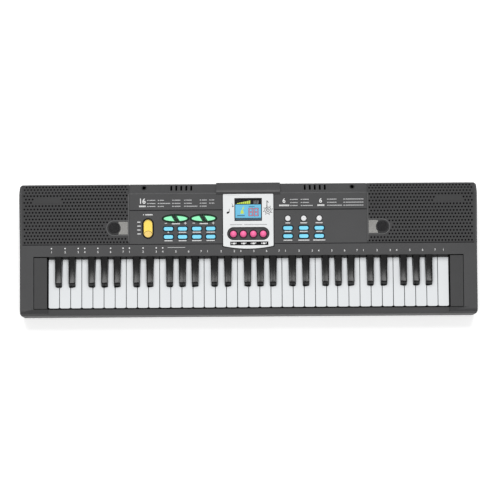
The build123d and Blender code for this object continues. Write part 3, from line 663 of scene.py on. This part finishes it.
def white_tail(note, alone=False):
    """Edges of a white key's head, and of its tail between the black keys, in its octave. A key that is
    alone has no black key on its right."""
    low = WHITES.index(note) * WHITE_PITCH + KEY_GAP / 2
    high = low + WHITE_PITCH - KEY_GAP
    head = (low, high)
    middle = (low + high) / 2
    edge = BLACK_HALF + BLACK_CLEAR
    for centre in BLACKS.values():
        if low < centre + edge < high and centre < middle:
            low = centre + edge
        if low < centre - edge < high and centre > middle and not alone:
            high = centre - edge
    return head, (low, high)


def comb_pivot(comb):
    """Plan position and height of a comb's rail."""
    return JOINTS[f"{comb}_hinge"]["pos_m"][1] / MM, JOINTS[f"{comb}_hinge"]["pos_m"][2] / MM


def arm_parts(x0, x1, comb):
    """Hidden arm behind a key, and its drop onto the comb's rail."""
    y, z = comb_pivot(comb)
    reach = box((x0, x1), (REAR_Y - 1.2, y + RAIL_R), (KEY_LOW, ARM_HIGH), 0.3)
    drop = box((x0, x1), (y - RAIL_R, y + RAIL_R), (z, ARM_HIGH - 0.4), 0.3)
    return [reach, drop]


def white_key(octave, note, alone=False):
    """One white key with rounded front corners, a waist for its black neighbours and a front lip."""
    x0 = KEYS_X0 + octave * OCTAVE
    head, tail = white_tail(note, alone)
    left, right = x0 + head[0], x0 + head[1]
    t_left, t_right = x0 + tail[0], x0 + tail[1]
    outline = [(left + CORNER_X * (1 - math.cos(a)), FRONT_Y + CORNER_Y * (1 - math.sin(a)))
               for a in (math.radians(15 * i) for i in range(7))]
    outline += [(right - CORNER_X * (1 - math.cos(a)), FRONT_Y + CORNER_Y * (1 - math.sin(a)))
                for a in (math.radians(90 - 15 * i) for i in range(7))]
    nose = list(outline)
    if t_right < right - 0.01:
        outline += [(right, WAIST_Y), (t_right, WAIST_Y)]
    outline += [(t_right, REAR_Y), (t_left, REAR_Y)]
    if t_left > left + 0.01:
        outline += [(t_left, WAIST_Y), (left, WAIST_Y)]
    plate = prism(outline, KEY_LOW, KEY_HIGH, 0.7, 4, 0.2)
    lip_y = FRONT_Y + KEY_LIP_T
    lip = prism(nose + [(right, lip_y), (left, lip_y)], KEY_LIP, KEY_HIGH - 1.4)
    comb = f"keys_{min(octave, OCTAVES - 1) + 1}_{COMB_OF[note]}"
    number = octave * 7 + WHITES.index(note) + 1
    # The arm is coloured black: painted shade where the key runs back under the panel's edge.
    arm = [(bm, M["chassis"]) for bm in arm_parts(t_left, t_right, comb)]
    piece(f"white_key_{number:02d}", [plate, lip] + arm, M["white_key"], comb, [comb], 40)


def black_key(octave, note):
    """One black key: tapered sides, a crowned top that dips towards the front, and a sloping nose."""
    middle = KEYS_X0 + octave * OCTAVE + BLACKS[note]
    bm = bmesh.new()
    rings = []
    for y, drop in BLACK_STATIONS:
        high = BLACK_HIGH - drop
        share = (high - KEY_LOW) / (BLACK_HIGH - KEY_LOW)
        half = BLACK_HALF + (BLACK_TOP_HALF - BLACK_HALF) * share
        ring = [(-BLACK_HALF, KEY_LOW)] + [(half * cx, high - cz) for cx, cz in CROWN]
        ring += [(BLACK_HALF, KEY_LOW)]
        rings.append([bm.verts.new((middle + x, y, z)) for x, z in ring])
    count = len(rings[0])
    for a, b in zip(rings, rings[1:]):
        for i in range(count):
            j = (i + 1) % count
            bm.faces.new((a[i], a[j], b[j], b[i]))
    bm.faces.new(rings[0][::-1])
    bm.faces.new(rings[-1])
    bmesh.ops.recalc_face_normals(bm, faces=bm.faces)
    comb = f"keys_{octave + 1}_black"
    arm = arm_parts(middle - BLACK_ARM_HALF, middle + BLACK_ARM_HALF, comb)
    piece(f"black_key_{octave + 1}_{note}", [bm] + arm, M["black_key"], comb, [comb], 50)


def comb_rail(comb, material):
    """Round rail that a comb turns on."""
    low, high = box_mm(comb)
    y, z = comb_pivot(comb)
    turn = Matrix.Translation(((low.x + high.x) / 2, y, z)) @ Matrix.Rotation(math.radians(90), 4, "Y")
    half = (min(high.x, KEYS_X0 + WHITE_KEYS * WHITE_PITCH) - low.x) / 2
    rod = lathe([(0, -half), (RAIL_R - 0.2, -half), (RAIL_R, -half + 0.2), (RAIL_R, half - 0.2),
                 (RAIL_R - 0.2, half), (0, half)], 24)
    piece(f"{comb}_rail", [moved(rod, turn)], material, comb, [comb])


for octave in range(OCTAVES):
    for note in WHITES:
        white_key(octave, note)
    for note in BLACKS:
        black_key(octave, note)
    comb_rail(f"keys_{octave + 1}_cegb", M["white_key"])
    comb_rail(f"keys_{octave + 1}_dfa", M["white_key"])
    comb_rail(f"keys_{octave + 1}_black", M["black_key"])
white_key(OCTAVES, "c", True)


# -------------------- printed marks, and rims of painted shade
INK_T = 0.05
INK_SUNK = 0.02
TEXT_PER_DIGIT = 1.38  # the font's size over the height of its digits


def mark(outline, x, y, base=0.0):
    """Flat printed shape on the panel, its outline drawn about (x, y)."""
    return moved(prism(outline, base - INK_SUNK, base + INK_T), on_panel(x, y))


def bar(x0, x1, y0, y1, base=0.0):
    """Printed rectangle between plan positions."""
    half_x = (x1 - x0) / 2
    half_y = (y1 - y0) / 2
    return mark(rectangle(-half_x, half_x, -half_y, half_y), (x0 + x1) / 2, (y0 + y1) / 2, base)


def blips(x0, x1, y, height, base=0.0):
    """A short row of plain printed blocks, in place of a printed word."""
    widths = (1.1, 0.7, 1.3, 0.8, 0.6, 1.2, 0.9)
    row = []
    x = x0
    i = int(abs(x0 * 7 + y * 3)) % len(widths)
    while x < x1 - 0.3:
        end = min(x + widths[i % len(widths)], x1)
        row.append(bar(x, end, y - height / 2, y + height / 2, base))
        x = end + 0.32
        i += 1
    return row


def numeral(text, height, x, y, base=0.0, stretch=1.0):
    """Printed number centred at a place on the panel."""
    curve = bpy.data.curves.new("numeral", "FONT")
    curve.body = text
    curve.align_x = "CENTER"
    curve.align_y = "CENTER"
    curve.size = height * TEXT_PER_DIGIT
    curve.extrude = (INK_T + INK_SUNK) / 2
    curve.offset = 0.02 * height
    holder = bpy.data.objects.new("numeral", curve)
    bpy.context.collection.objects.link(holder)
    bpy.context.view_layer.update()
    mesh = bpy.data.meshes.new_from_object(holder)
    bm = bmesh.new()
    bm.from_mesh(mesh)
    bpy.data.objects.remove(holder)
    bpy.data.curves.remove(curve)
    bpy.data.meshes.remove(mesh)
    bmesh.ops.remove_doubles(bm, verts=bm.verts, dist=1e-5)
    bmesh.ops.recalc_face_normals(bm, faces=bm.faces)
    bm.transform(Matrix.Scale(stretch, 4, (1, 0, 0)))
    return moved(bm, on_panel(x, y, base + (INK_T - INK_SUNK) / 2))


def rim_strip(outer, inner, x, y):
    """Thin coloured strip round an opening or a panel's edge: painted shade in the gap there."""
    return moved(strip(outer, inner, -0.05, 0.06, 0), on_panel(x, y))


# -------------------- controls
FLANGE_HIGH = -3.2
FLANGE_LOW = -4.4
STEM_LOW = -7.0
CAP_HIGH = 1.6
BLUE = (14.6, 5.8)
BLUE_LEFT_X = (-127.4, -104.9, -82.2, -60.0)
BLUE_RIGHT_X = (63.2, 88.5, 113.2)
BLUE_ROWS = (("upper", 32.5), ("lower", 19.7))
ROUND_R = 4.3
ROUND_Y = 47.8
PAD_R = 5.1
PAD_RISE = 2.4
PAD_X = (-23.8, -8.0, 8.0, 23.8)
PAD_Y = 23.5
# Strips round the controls' openings: painted shade in the gaps, tinted blue beside the blue buttons and
# green beside the rockers.
rims = {"blue": [], "green": [], "dark": []}


def stem(x=0.0, high=FLANGE_HIGH):
    """Post that presses the mat under a control."""
    post = lathe([(0, STEM_LOW), (1.7, STEM_LOW), (2.0, STEM_LOW + 0.3), (2.0, high), (0, high)], 24)
    return moved(post, Matrix.Translation((x, 0, 0)))


def control(node, x, y, parts, material, slot):
    """Puts a control built about its own centre on the panel."""
    placed = []
    for part in parts:
        bm, extra = part if isinstance(part, tuple) else (part, material)
        placed.append((moved(bm, on_panel(x, y)), extra))
    return piece(f"{node}_visual", placed, material, node, [node])


def flange_disc(radius):
    """Round skirt that holds a control under its opening."""
    return lathe([(0, FLANGE_LOW), (radius, FLANGE_LOW), (radius, FLANGE_HIGH), (0, FLANGE_HIGH)])


def blue_button(node, x, y):
    width, height = BLUE
    cap = prism(rounded_rectangle(*BLUE, 2.0, 6), FLANGE_HIGH, CAP_HIGH, 0.9, 4)
    flange = prism(rounded_rectangle(width + 2, height + 2, 3.0), FLANGE_LOW, FLANGE_HIGH)
    # The flange and stem are dark blue: painted shade in the gap under the cap.
    control(node, x, y, [cap, (flange, M["blue_skirt_shade"]), (stem(), M["blue_skirt_shade"])], M["blue"], "button_blue")
    rims["blue"].append(rim_strip(rounded_rectangle(width + 3.6, height + 3.4, 3.7),
                                  rounded_rectangle(width + 0.5, height + 0.5, 2.2), x, y))


def round_button(node, x):
    """White button with a dished top."""
    cap = lathe([(0, 1.05), (0.9, 1.08), (1.35, 1.3), (1.7, 1.52), (3.3, CAP_HIGH), (3.85, 1.5), (4.15, 1.2),
                 (ROUND_R, 0.7), (ROUND_R, FLANGE_HIGH), (0, FLANGE_HIGH)])
    control(node, x, ROUND_Y, [cap, flange_disc(ROUND_R + 1), stem()], M["pearl"], "button_white")
    rims["dark"].append(rim_strip(circle(ROUND_R + 1.1), circle(ROUND_R + 0.35), x, ROUND_Y))


def drum_pad(node, x):
    """Pad with a domed top, part of a ball."""
    ball = (PAD_R ** 2 + PAD_RISE ** 2) / (2 * PAD_RISE)
    slope = math.asin(PAD_R / ball)
    angles = [slope * k / 12 for k in range(13)]
    dome = [(ball * math.sin(a), PAD_RISE - ball + ball * math.cos(a)) for a in angles]
    pad = lathe(dome + [(PAD_R, FLANGE_HIGH), (0, FLANGE_HIGH)], 56)
    # The flange is dark wine: painted shade at the pad's edge.
    control(node, x, PAD_Y, [pad, (flange_disc(PAD_R + 1), M["wine"]), stem()], M["pink"], "pad_pink")
    rims["dark"].append(rim_strip(circle(PAD_R + 1.5), circle(PAD_R + 0.35), x, PAD_Y))


for word, columns in (("left", BLUE_LEFT_X), ("right", BLUE_RIGHT_X)):
    for row, y in BLUE_ROWS:
        for i, x in enumerate(columns):
            blue_button(f"blue_button_{word}_{row}_{i + 1}", x, y)
for i, x in enumerate(BLUE_RIGHT_X):
    round_button(f"round_button_{i + 1}", x)
for i, x in enumerate(PAD_X):
    drum_pad(f"drum_pad_{i + 1}", x)

# Rockers: two half-oval caps on one bar, on a pin.
ROCKER_A = 20.2
ROCKER_B = 5.5
ROCKER_BAND = 4.3
ROCKER_SLANT = math.radians(31.0)
ROCKERS = {"volume_rocker": -115.9, "tempo_rocker": -71.4}


def half_oval(grow, side, steps=40):
    """Half of an oval cut by the slanting band, grown outwards and away from the band."""
    a = ROCKER_A + grow
    b = ROCKER_B + grow
    reach = ROCKER_BAND / 2 - grow
    swing = math.hypot(a * math.cos(ROCKER_SLANT), b * math.sin(ROCKER_SLANT))
    middle = math.atan2(b * math.sin(ROCKER_SLANT), a * math.cos(ROCKER_SLANT))
    spread = math.acos(reach / swing)
    angles = [middle - spread + 2 * spread * i / steps for i in range(steps + 1)]
    return [(side * a * math.cos(t), side * b * math.sin(t)) for t in angles]


def rocker(node, x):
    parts = [box((-15, 15), (-3.2, 3.2), (-PIVOT_DEPTH - 0.9, -PIVOT_DEPTH + 0.7), 0.3)]
    for side in (-1, 1):
        # The lower, wider half-oval is dark green: painted shade round the rocker's raised top.
        parts.append((prism(half_oval(-0.1, side), -PIVOT_DEPTH, 0.5, 0.3, 2), M["green_skirt_shade"]))
        parts.append(prism(half_oval(-1.5, side), 0.3, 1.4, 0.7, 4))
        parts.append(stem(side * 13, -PIVOT_DEPTH))
        rims["green"].append(rim_strip(half_oval(1.9, side), half_oval(0.5, side), x, ROCKER_PIVOT_Y))
    pin = lathe([(0, -7.8), (1.0, -7.8), (1.2, -7.6), (1.2, 7.6), (1.0, 7.8), (0, 7.8)], 24)
    across = Matrix.Translation((0, 0, -PIVOT_DEPTH)) @ Matrix.Rotation(math.radians(90), 4, "X")
    parts.append(moved(pin, across))
    control(node, x, ROCKER_PIVOT_Y, parts, M["green"], "rocker_green")


for node, x in ROCKERS.items():
    rocker(node, x)

# Slide switch: a shutter plate under the slot, with a grip at its front end.
SWITCH = (-159.9, 33.2)
SLOT = (14.0, 28.6)
SLOT_RIM = 2.3
GRIP_TURN = math.radians(15)
GRIP_R = 6.6
GRIP_REAR_Y = -7.3
GRIP_FRONT_Y = -10.7
CRESCENT_Y = -10.4
CRESCENT_R = (7.0, 6.5)


def arc_about(radius, y, start, sweep):
    """Arc of 21 points about a place on the switch's middle line."""
    turns = [start + sweep * i / 20 for i in range(21)]
    return [(radius * math.cos(t), y + radius * math.sin(t)) for t in turns]


def slide_switch():
    sweep = math.pi - 2 * GRIP_TURN
    outline = arc_about(GRIP_R, GRIP_REAR_Y, math.pi + GRIP_TURN, sweep)
    outline += arc_about(GRIP_R, GRIP_FRONT_Y, GRIP_TURN, sweep)
    grip = prism(outline, -1.5, 1.2, 0.8, 4)
    # The crescent is dark: painted shade on the plate at the foot of the grip's front edge.
    turns = [math.radians(20 + 7 * i) for i in range(21)]
    outer, inner = [[(r * math.cos(t), CRESCENT_Y + r * math.sin(t)) for t in turns] for r in CRESCENT_R]
    crescent = prism(outer + inner[::-1], -1.45, -1.3)
    shutter = prism(rounded_rectangle(17.0, 48.6, 1.0, cy=-9.0), -3.0, -1.4)
    finger = box((-3, 3), (-12.3, -8.3), (-9, -2.4), 0.2)
    control("mode_switch", *SWITCH, [shutter, (grip, M["amber"]), finger, (crescent, M["ink_dark_and_shade"])],
            M["yellow"], "switch_yellow")
    slot_rims = [rounded_rectangle(SLOT[0] + 2 * g, SLOT[1] + 2 * g, SLOT[0] / 2 + g, 12)
                 for g in (SLOT_RIM, 0)]
    rims["dark"].append(rim_strip(*slot_rims, *SWITCH))


slide_switch()
# The rims: painted shade round the controls' openings.
piece("blue_rim_shade", rims["blue"], M["blue_rim"], "case")
piece("green_rim_shade", rims["green"], M["green_rim"], "case")
piece("dark_rim_shade", rims["dark"], M["ink_dark_and_shade"], "case")


# -------------------- display
WINDOW_X = 21.9
WINDOW_Y = (44.1, 80.5)
WINDOW_MID = sum(WINDOW_Y) / 2
WINDOW_HALF = (WINDOW_Y[1] - WINDOW_Y[0]) / 2
FACE = -3.2
SCREEN_HALF_X = 20.5
SCREEN_SKY_Y = (49.0, 70.2)
SCREEN_FOOT_Y = (45.6, 48.6)
DIGIT_X = (1.4, 10.0)
LEVELS = 7
LEVEL_X0 = -17.8
LEVEL_PITCH = 3.1
LEVEL_W = 2.6
LEVEL_Y = (71.4, 72.3)
LEVEL_STEP = 0.62


def screen_bar(x0, x1, y0, y1, step=1):
    """Printed rectangle on the display's face; higher steps lie above lower ones."""
    return bar(x0, x1, y0, y1, FACE + step * INK_T)


def screen_shape(points, step=1):
    """Printed shape on the display's face from plan points."""
    cx = sum(p[0] for p in points) / len(points)
    cy = sum(p[1] for p in points) / len(points)
    return mark([(px - cx, py - cy) for px, py in points], cx, cy, FACE + step * INK_T)


def two_tone_digit(x, y, width, height, thick, step):
    """Seven-bar digit eight: the outer strokes and the paler strokes inside them."""
    shapes = []
    for shrink, level in ((0.0, step), (0.6, step + 1)):
        t = thick / 2 - shrink
        for level_y in (y, y + height / 2, y + height):
            bar_ends = (x - t + shrink, x + width + t - shrink)
            shapes.append((screen_bar(*bar_ends, level_y - t, level_y + t, level), shrink))
        for side_x in (x, x + width):
            shapes.append((screen_bar(side_x - t, side_x + t, y - t, y + height + t, level), shrink))
    return shapes


module = moved(prism(rectangle(-WINDOW_X - 1.5, WINDOW_X + 1.5, -WINDOW_HALF - 1.5, WINDOW_HALF + 1.5),
                     -8, FACE, 0.2), on_panel(0, WINDOW_MID))
piece("display_block", [module], M["bezel"], "case", ["display_module"])
lens = moved(prism(rectangle(-WINDOW_X + 0.1, WINDOW_X - 0.1, -WINDOW_HALF + 0.1, WINDOW_HALF - 0.1),
                   -1.2, 0, 0.3), on_panel(0, WINDOW_MID))
piece("display_lens", [lens], M["window"], "case", ["display_window"])
sky = [screen_bar(-SCREEN_HALF_X, SCREEN_HALF_X, *SCREEN_SKY_Y)]
lime = []
for i in range(LEVELS):
    x0 = LEVEL_X0 + LEVEL_PITCH * i
    x1 = x0 + LEVEL_W
    foot, top = LEVEL_Y
    lime.append(screen_shape([(x0, foot), (x1, foot), (x1, top + LEVEL_STEP * (i + 1)),
                              (x0, top + LEVEL_STEP * i)]))
lime.append(screen_shape([(-12.6, 55.6), (-6.6, 55.6), (-8.2, 61.5), (-11.0, 61.5)], 2))
lime.append(screen_shape([(-9.9, 61.0), (-9.2, 60.6), (-6.6, 67.2), (-7.4, 67.6)], 2))
lime.append(screen_bar(-9.2, -6.4, 63.4, 65.0, 3))
wine = []
rose = []
for x in DIGIT_X:
    for shape, shrink in two_tone_digit(x, 52.6, 5.6, 11.2, 2.1, 2):
        (rose if shrink else wine).append(shape)
navy = [screen_bar(-SCREEN_HALF_X, SCREEN_HALF_X, *SCREEN_FOOT_Y)]
navy += blips(-17.6, -5.2, 52.7, 1.8, FACE + 2 * INK_T)
navy += blips(1.0, 11.0, 66.9, 1.3, FACE + 2 * INK_T)
greys = [screen_bar(x0, x0 + 0.9, 71.6, 76.6) for x0 in (9.2, 11.6, 13.8, 15.6)]
greys += [screen_bar(8.6, 11.8, 71.6, 72.3), screen_bar(13.2, 16.4, 71.6, 72.3)]
layers = {"sky": sky, "lime": lime, "wine": wine, "rose": rose, "navy": navy, "grey": greys}
for name, shapes in layers.items():
    piece(f"display_{name}_layer", shapes, M[name], "case")

# Prints on the white panel: a plain row of dashes, music notes, and four icons on a dark strip.
PANEL_FACE = 0.4
DASHES_Y = 38.4
PLATE_HALF = 40.2
PLATE_Y = (4.6, 87.0)
BOW_Y = 0.3
TRAY_Y = 24.2
DIAL = (31.5, 61.0)
dashes = blips(-29, -9, DASHES_Y, 1.3, PANEL_FACE) + blips(-6.5, 30, DASHES_Y, 1.3, PANEL_FACE)
note_head = [(0.9 * 2.6 * math.cos(t), 0.7 * 2.2 * math.sin(t)) for t in
             (2 * math.pi * i / 24 for i in range(24))]
lean = math.radians(28)
leaning = [(px * math.cos(lean) - py * math.sin(lean), px * math.sin(lean) + py * math.cos(lean))
           for px, py in note_head]
darks = [mark(leaning, -32.2, 57.6, PANEL_FACE),
         mark([(-0.35, 0), (0.35, 0), (0.2, 5.5), (-0.5, 5.5)], -30.0, 58.0, PANEL_FACE),
         mark([(px * 0.6, py * 0.6) for px, py in leaning], -24.4, 67.4, PANEL_FACE),
         mark([(-0.3, 0), (0.3, 0), (-1.9, 4.6), (-2.5, 4.4)], -23.8, 67.6, PANEL_FACE)]
for ring_r, ring_w in ((5.4, 0.9), (2.6, 1.0)):
    ring = strip(circle(ring_r), circle(ring_r - ring_w), PANEL_FACE - INK_SUNK, PANEL_FACE + INK_T, 0)
    darks.append(moved(ring, on_panel(*DIAL)))
for i in range(8):
    t = math.radians(45 * i + 15)
    darks.append(mark(circle(0.75, 12), DIAL[0] + 7.0 * math.cos(t), DIAL[1] + 7.0 * math.sin(t), PANEL_FACE))
darks.append(bar(29.5, 30.5, 60.5, 76.5, PANEL_FACE))
darks.append(mark([(-0.3, 0), (2.6, -2.4), (2.9, -1.7), (0.2, 1.4)], 30.0, 75.0, PANEL_FACE))
darks.append(bar(-28.9, 32.0, 5.6, 11.6, PANEL_FACE))
whites = []
for i, x in enumerate((-23.0, -7.4, 8.2, 25.0)):
    whites.append(mark(rounded_rectangle(4.6, 2.6, 1.2), x, 8.6, PANEL_FACE + INK_T))
    whites.append(mark(circle(0.8, 16), x + 3.4, 9.2, PANEL_FACE + INK_T))
    whites.append(bar(x - 4.2, x - 3.2, 7.6, 9.8, PANEL_FACE + INK_T))
piece("panel_grey_prints", dashes, M["grey"], "case")
piece("panel_dark_prints", darks, M["ink_dark_and_shade"], "case")
piece("panel_white_prints", whites, M["ink_white"], "case")

def slope_outline(grow):
    """The white panel's outline in its own plane, about the tray's centre, with its bowed front edge."""
    half = PLATE_HALF + grow
    low = up_slope(PLATE_Y[0], TRAY_Y) - grow
    high = up_slope(PLATE_Y[1], TRAY_Y) + grow
    sag = up_slope(PLATE_Y[0] - BOW_Y, 0)
    bow = [(half * (1 - i / 10), low - sag * (1 - (1 - i / 10) ** 2)) for i in range(21)]
    return [(-half, low), (-half, high), (half, high)] + bow[:-1]


# Dark lines on the case: a line between the pads, and painted shade round the white panel and the tray and in
# the grooves across the panel.
LINE_X0 = 41.8
# Painted shade along the bottoms of the grooves across the panel.
LINES = ((189.0, 61.35, 62.75), (360.0, 7.55, 8.65))
links = [bar(x0 + PAD_R + 1.5, x1 - PAD_R - 1.5, PAD_Y - 0.3, PAD_Y + 0.3)
         for x0, x1 in zip(PAD_X, PAD_X[1:])]
links.append(rim_strip(slope_outline(1.3), slope_outline(0.4), 0, TRAY_Y))
links.append(rim_strip(rounded_rectangle(67.3, 20.4, 10.19, 14), rounded_rectangle(65.6, 18.7, 9.34, 14),
                       0, TRAY_Y))
for side in (-1, 1):
    for line_x1, y0, y1 in LINES:
        ends = sorted((side * LINE_X0, side * line_x1))
        links.append(bar(*ends, y0, y1, -0.05))
piece("pad_links_and_shade_lines", links, M["ink_dark_and_shade"], "case")


# -------------------- prints on the case
SWITCH_MARK_X = -177.0
SWITCH_MARKS = ((43.4, 5.0), (37.2, 5.6), (31.0, 5.0), (24.8, 5.4))
DOTTED_KEYS = 11
prints = []
legend = []
ROWS_Y = (77.8, 72.8, 68.1)
LEFT_COLUMNS = ((-161, -148), (-144, -134), (-121, -108), (-102, -90), (-77, -66), (-62, -54))
RIGHT_COLUMNS = ((67, 79), (84, 97), (126, 141), (152, 184))
LONGER = {(1, -144): 10, (2, -102): 9, (2, 84): 6, (2, 126): 9}
for row, y in enumerate(ROWS_Y):
    for x0, x1 in LEFT_COLUMNS + RIGHT_COLUMNS:
        if (row, x0) == (2, -62):
            continue
        legend += blips(x0, x0 + 2.6, y, 1.25)
        legend += blips(x0 + 3.6, x1 + LONGER.get((row, x0), 0), y, 1.25)
prints.append(numeral("16", 8.4, -168.8, 76.2, stretch=0.95))
prints.append(numeral("6", 7.2, 57.2, 75.6))
prints.append(numeral("6", 7.2, 115.6, 75.6))
for x0, x1 in ((-174, -163.5), (49.5, 65.5), (110.5, 121.5)):
    prints += blips(x0, x1, 68.4, 2.5)
prints.append(mark(circle(0.8, 16), -167.0, 55.0))
prints += blips(-164.0, -152.5, 55.0, 2.0)
for y, reach in SWITCH_MARKS:
    prints.append(bar(SWITCH_MARK_X, SWITCH_MARK_X + reach, y - 0.65, y + 0.65))
for x in ROCKERS.values():
    prints += blips(x - 6, x + 7, 40.6, 2.0)
    prints.append(bar(x - 17.5, x - 13.5, 40.9, 41.7))
    prints.append(bar(x + 13.5, x + 17.5, 40.9, 41.7))
    prints.append(bar(x + 15.1, x + 15.9, 39.3, 43.3))
for y, reaches in ((26.9, (1.2, 6.0, 6.5, 6.5)), (13.7, (6.2, 6.2, 7.4, 6.6))):
    for x, reach in zip(BLUE_LEFT_X, reaches):
        prints += blips(x - reach, x + reach, y, 1.7)
for y, reaches in ((40.6, (3.6, 5.2, 5.6)), (27.0, (5.2, 6.2, 4.8)), (13.2, (6.8, 8.6, 9.6))):
    for x, reach in zip(BLUE_RIGHT_X, reaches):
        prints += blips(x - reach, x + reach, y, 1.7)
prints.append(bar(-129, -101, 2.7, 3.2))
for i in range(WHITE_KEYS):
    tail = white_tail(WHITES[i % 7], i == WHITE_KEYS - 1)[1]
    x = KEYS_X0 + i // 7 * OCTAVE + sum(tail) / 2
    prints.append(numeral(str(i % 7 + 1), 3.3, x, -3.6))
    if i < DOTTED_KEYS:
        prints.append(mark(circle(1.1, 16), x, 2.4))
piece("case_prints", prints, M["ink_white"], "case")
piece("legend_prints", legend, M["ink_soft"], "case")


# -------------------- floor, light and camera
FLOOR_DROP = 0.0003
LIGHTS = (("rear_softbox", (0.0, 2.0, 2.35), 2.4, 1.6, 70.0),
          ("front_left_softbox", (-0.54, -0.75, 2.5), 0.62, 1.1, 12.0),
          ("front_right_softbox", (0.56, -0.75, 2.5), 0.56, 1.1, 11.0))
WORLD_STRENGTH = 0.31


def flat_object(name, size, material):
    """Square sheet, in metres."""
    bm = bmesh.new()
    bmesh.ops.create_grid(bm, x_segments=1, y_segments=1, size=size)
    mesh = bpy.data.meshes.new(name)
    bm.to_mesh(mesh)
    bm.free()
    mesh.materials.append(material)
    obj = bpy.data.objects.new(name, mesh)
    bpy.context.collection.objects.link(obj)
    return obj


def soft_light(name, place, width, depth, power):
    """Rectangular softbox aimed at the middle of the object."""
    light = bpy.data.lights.new(name, "AREA")
    light.shape = "RECTANGLE"
    light.size = width
    light.size_y = depth
    light.energy = power
    obj = bpy.data.objects.new(name, light)
    obj.location = place
    aim = Vector((0, 0, 0.03)) - Vector(place)
    obj.rotation_euler = aim.to_track_quat("-Z", "Y").to_euler()
    bpy.context.collection.objects.link(obj)


paper = plastic("floor_paper", (0.985, 0.985, 0.985), 0.9, 0.003, 200, 0.0, specular=0.1, emission=0.36)
floor = flat_object("floor", 6.0, paper)
floor.location.z = -FLOOR_DROP
for name, place, width, depth, power in LIGHTS:
    soft_light(name, place, width, depth, power)

scene = bpy.context.scene
world = bpy.data.worlds.new("studio")
world.use_nodes = True
world.node_tree.nodes["Background"].inputs["Color"].default_value = (1, 1, 1, 1)
world.node_tree.nodes["Background"].inputs["Strength"].default_value = WORLD_STRENGTH
scene.world = world
scene.view_settings.view_transform = "Standard"

VIEW_WIDTH = 798.25
SENSOR = 36.0
AIM = Vector((2.5, -1.8, 46.0)) * MM
CAMERA_AWAY = 3.0
TURN = Matrix.Rotation(math.radians(-0.4), 4, "Z") @ Matrix.Rotation(math.radians(5.5), 4, "X")
camera_data = bpy.data.cameras.new("camera")
camera_data.sensor_width = SENSOR
camera_data.lens = SENSOR * CAMERA_AWAY / (VIEW_WIDTH * MM)
camera = bpy.data.objects.new("camera", camera_data)
camera.matrix_world = Matrix.Translation(AIM) @ TURN @ Matrix.Translation((0, 0, CAMERA_AWAY))
bpy.context.collection.objects.link(camera)
scene.camera = camera
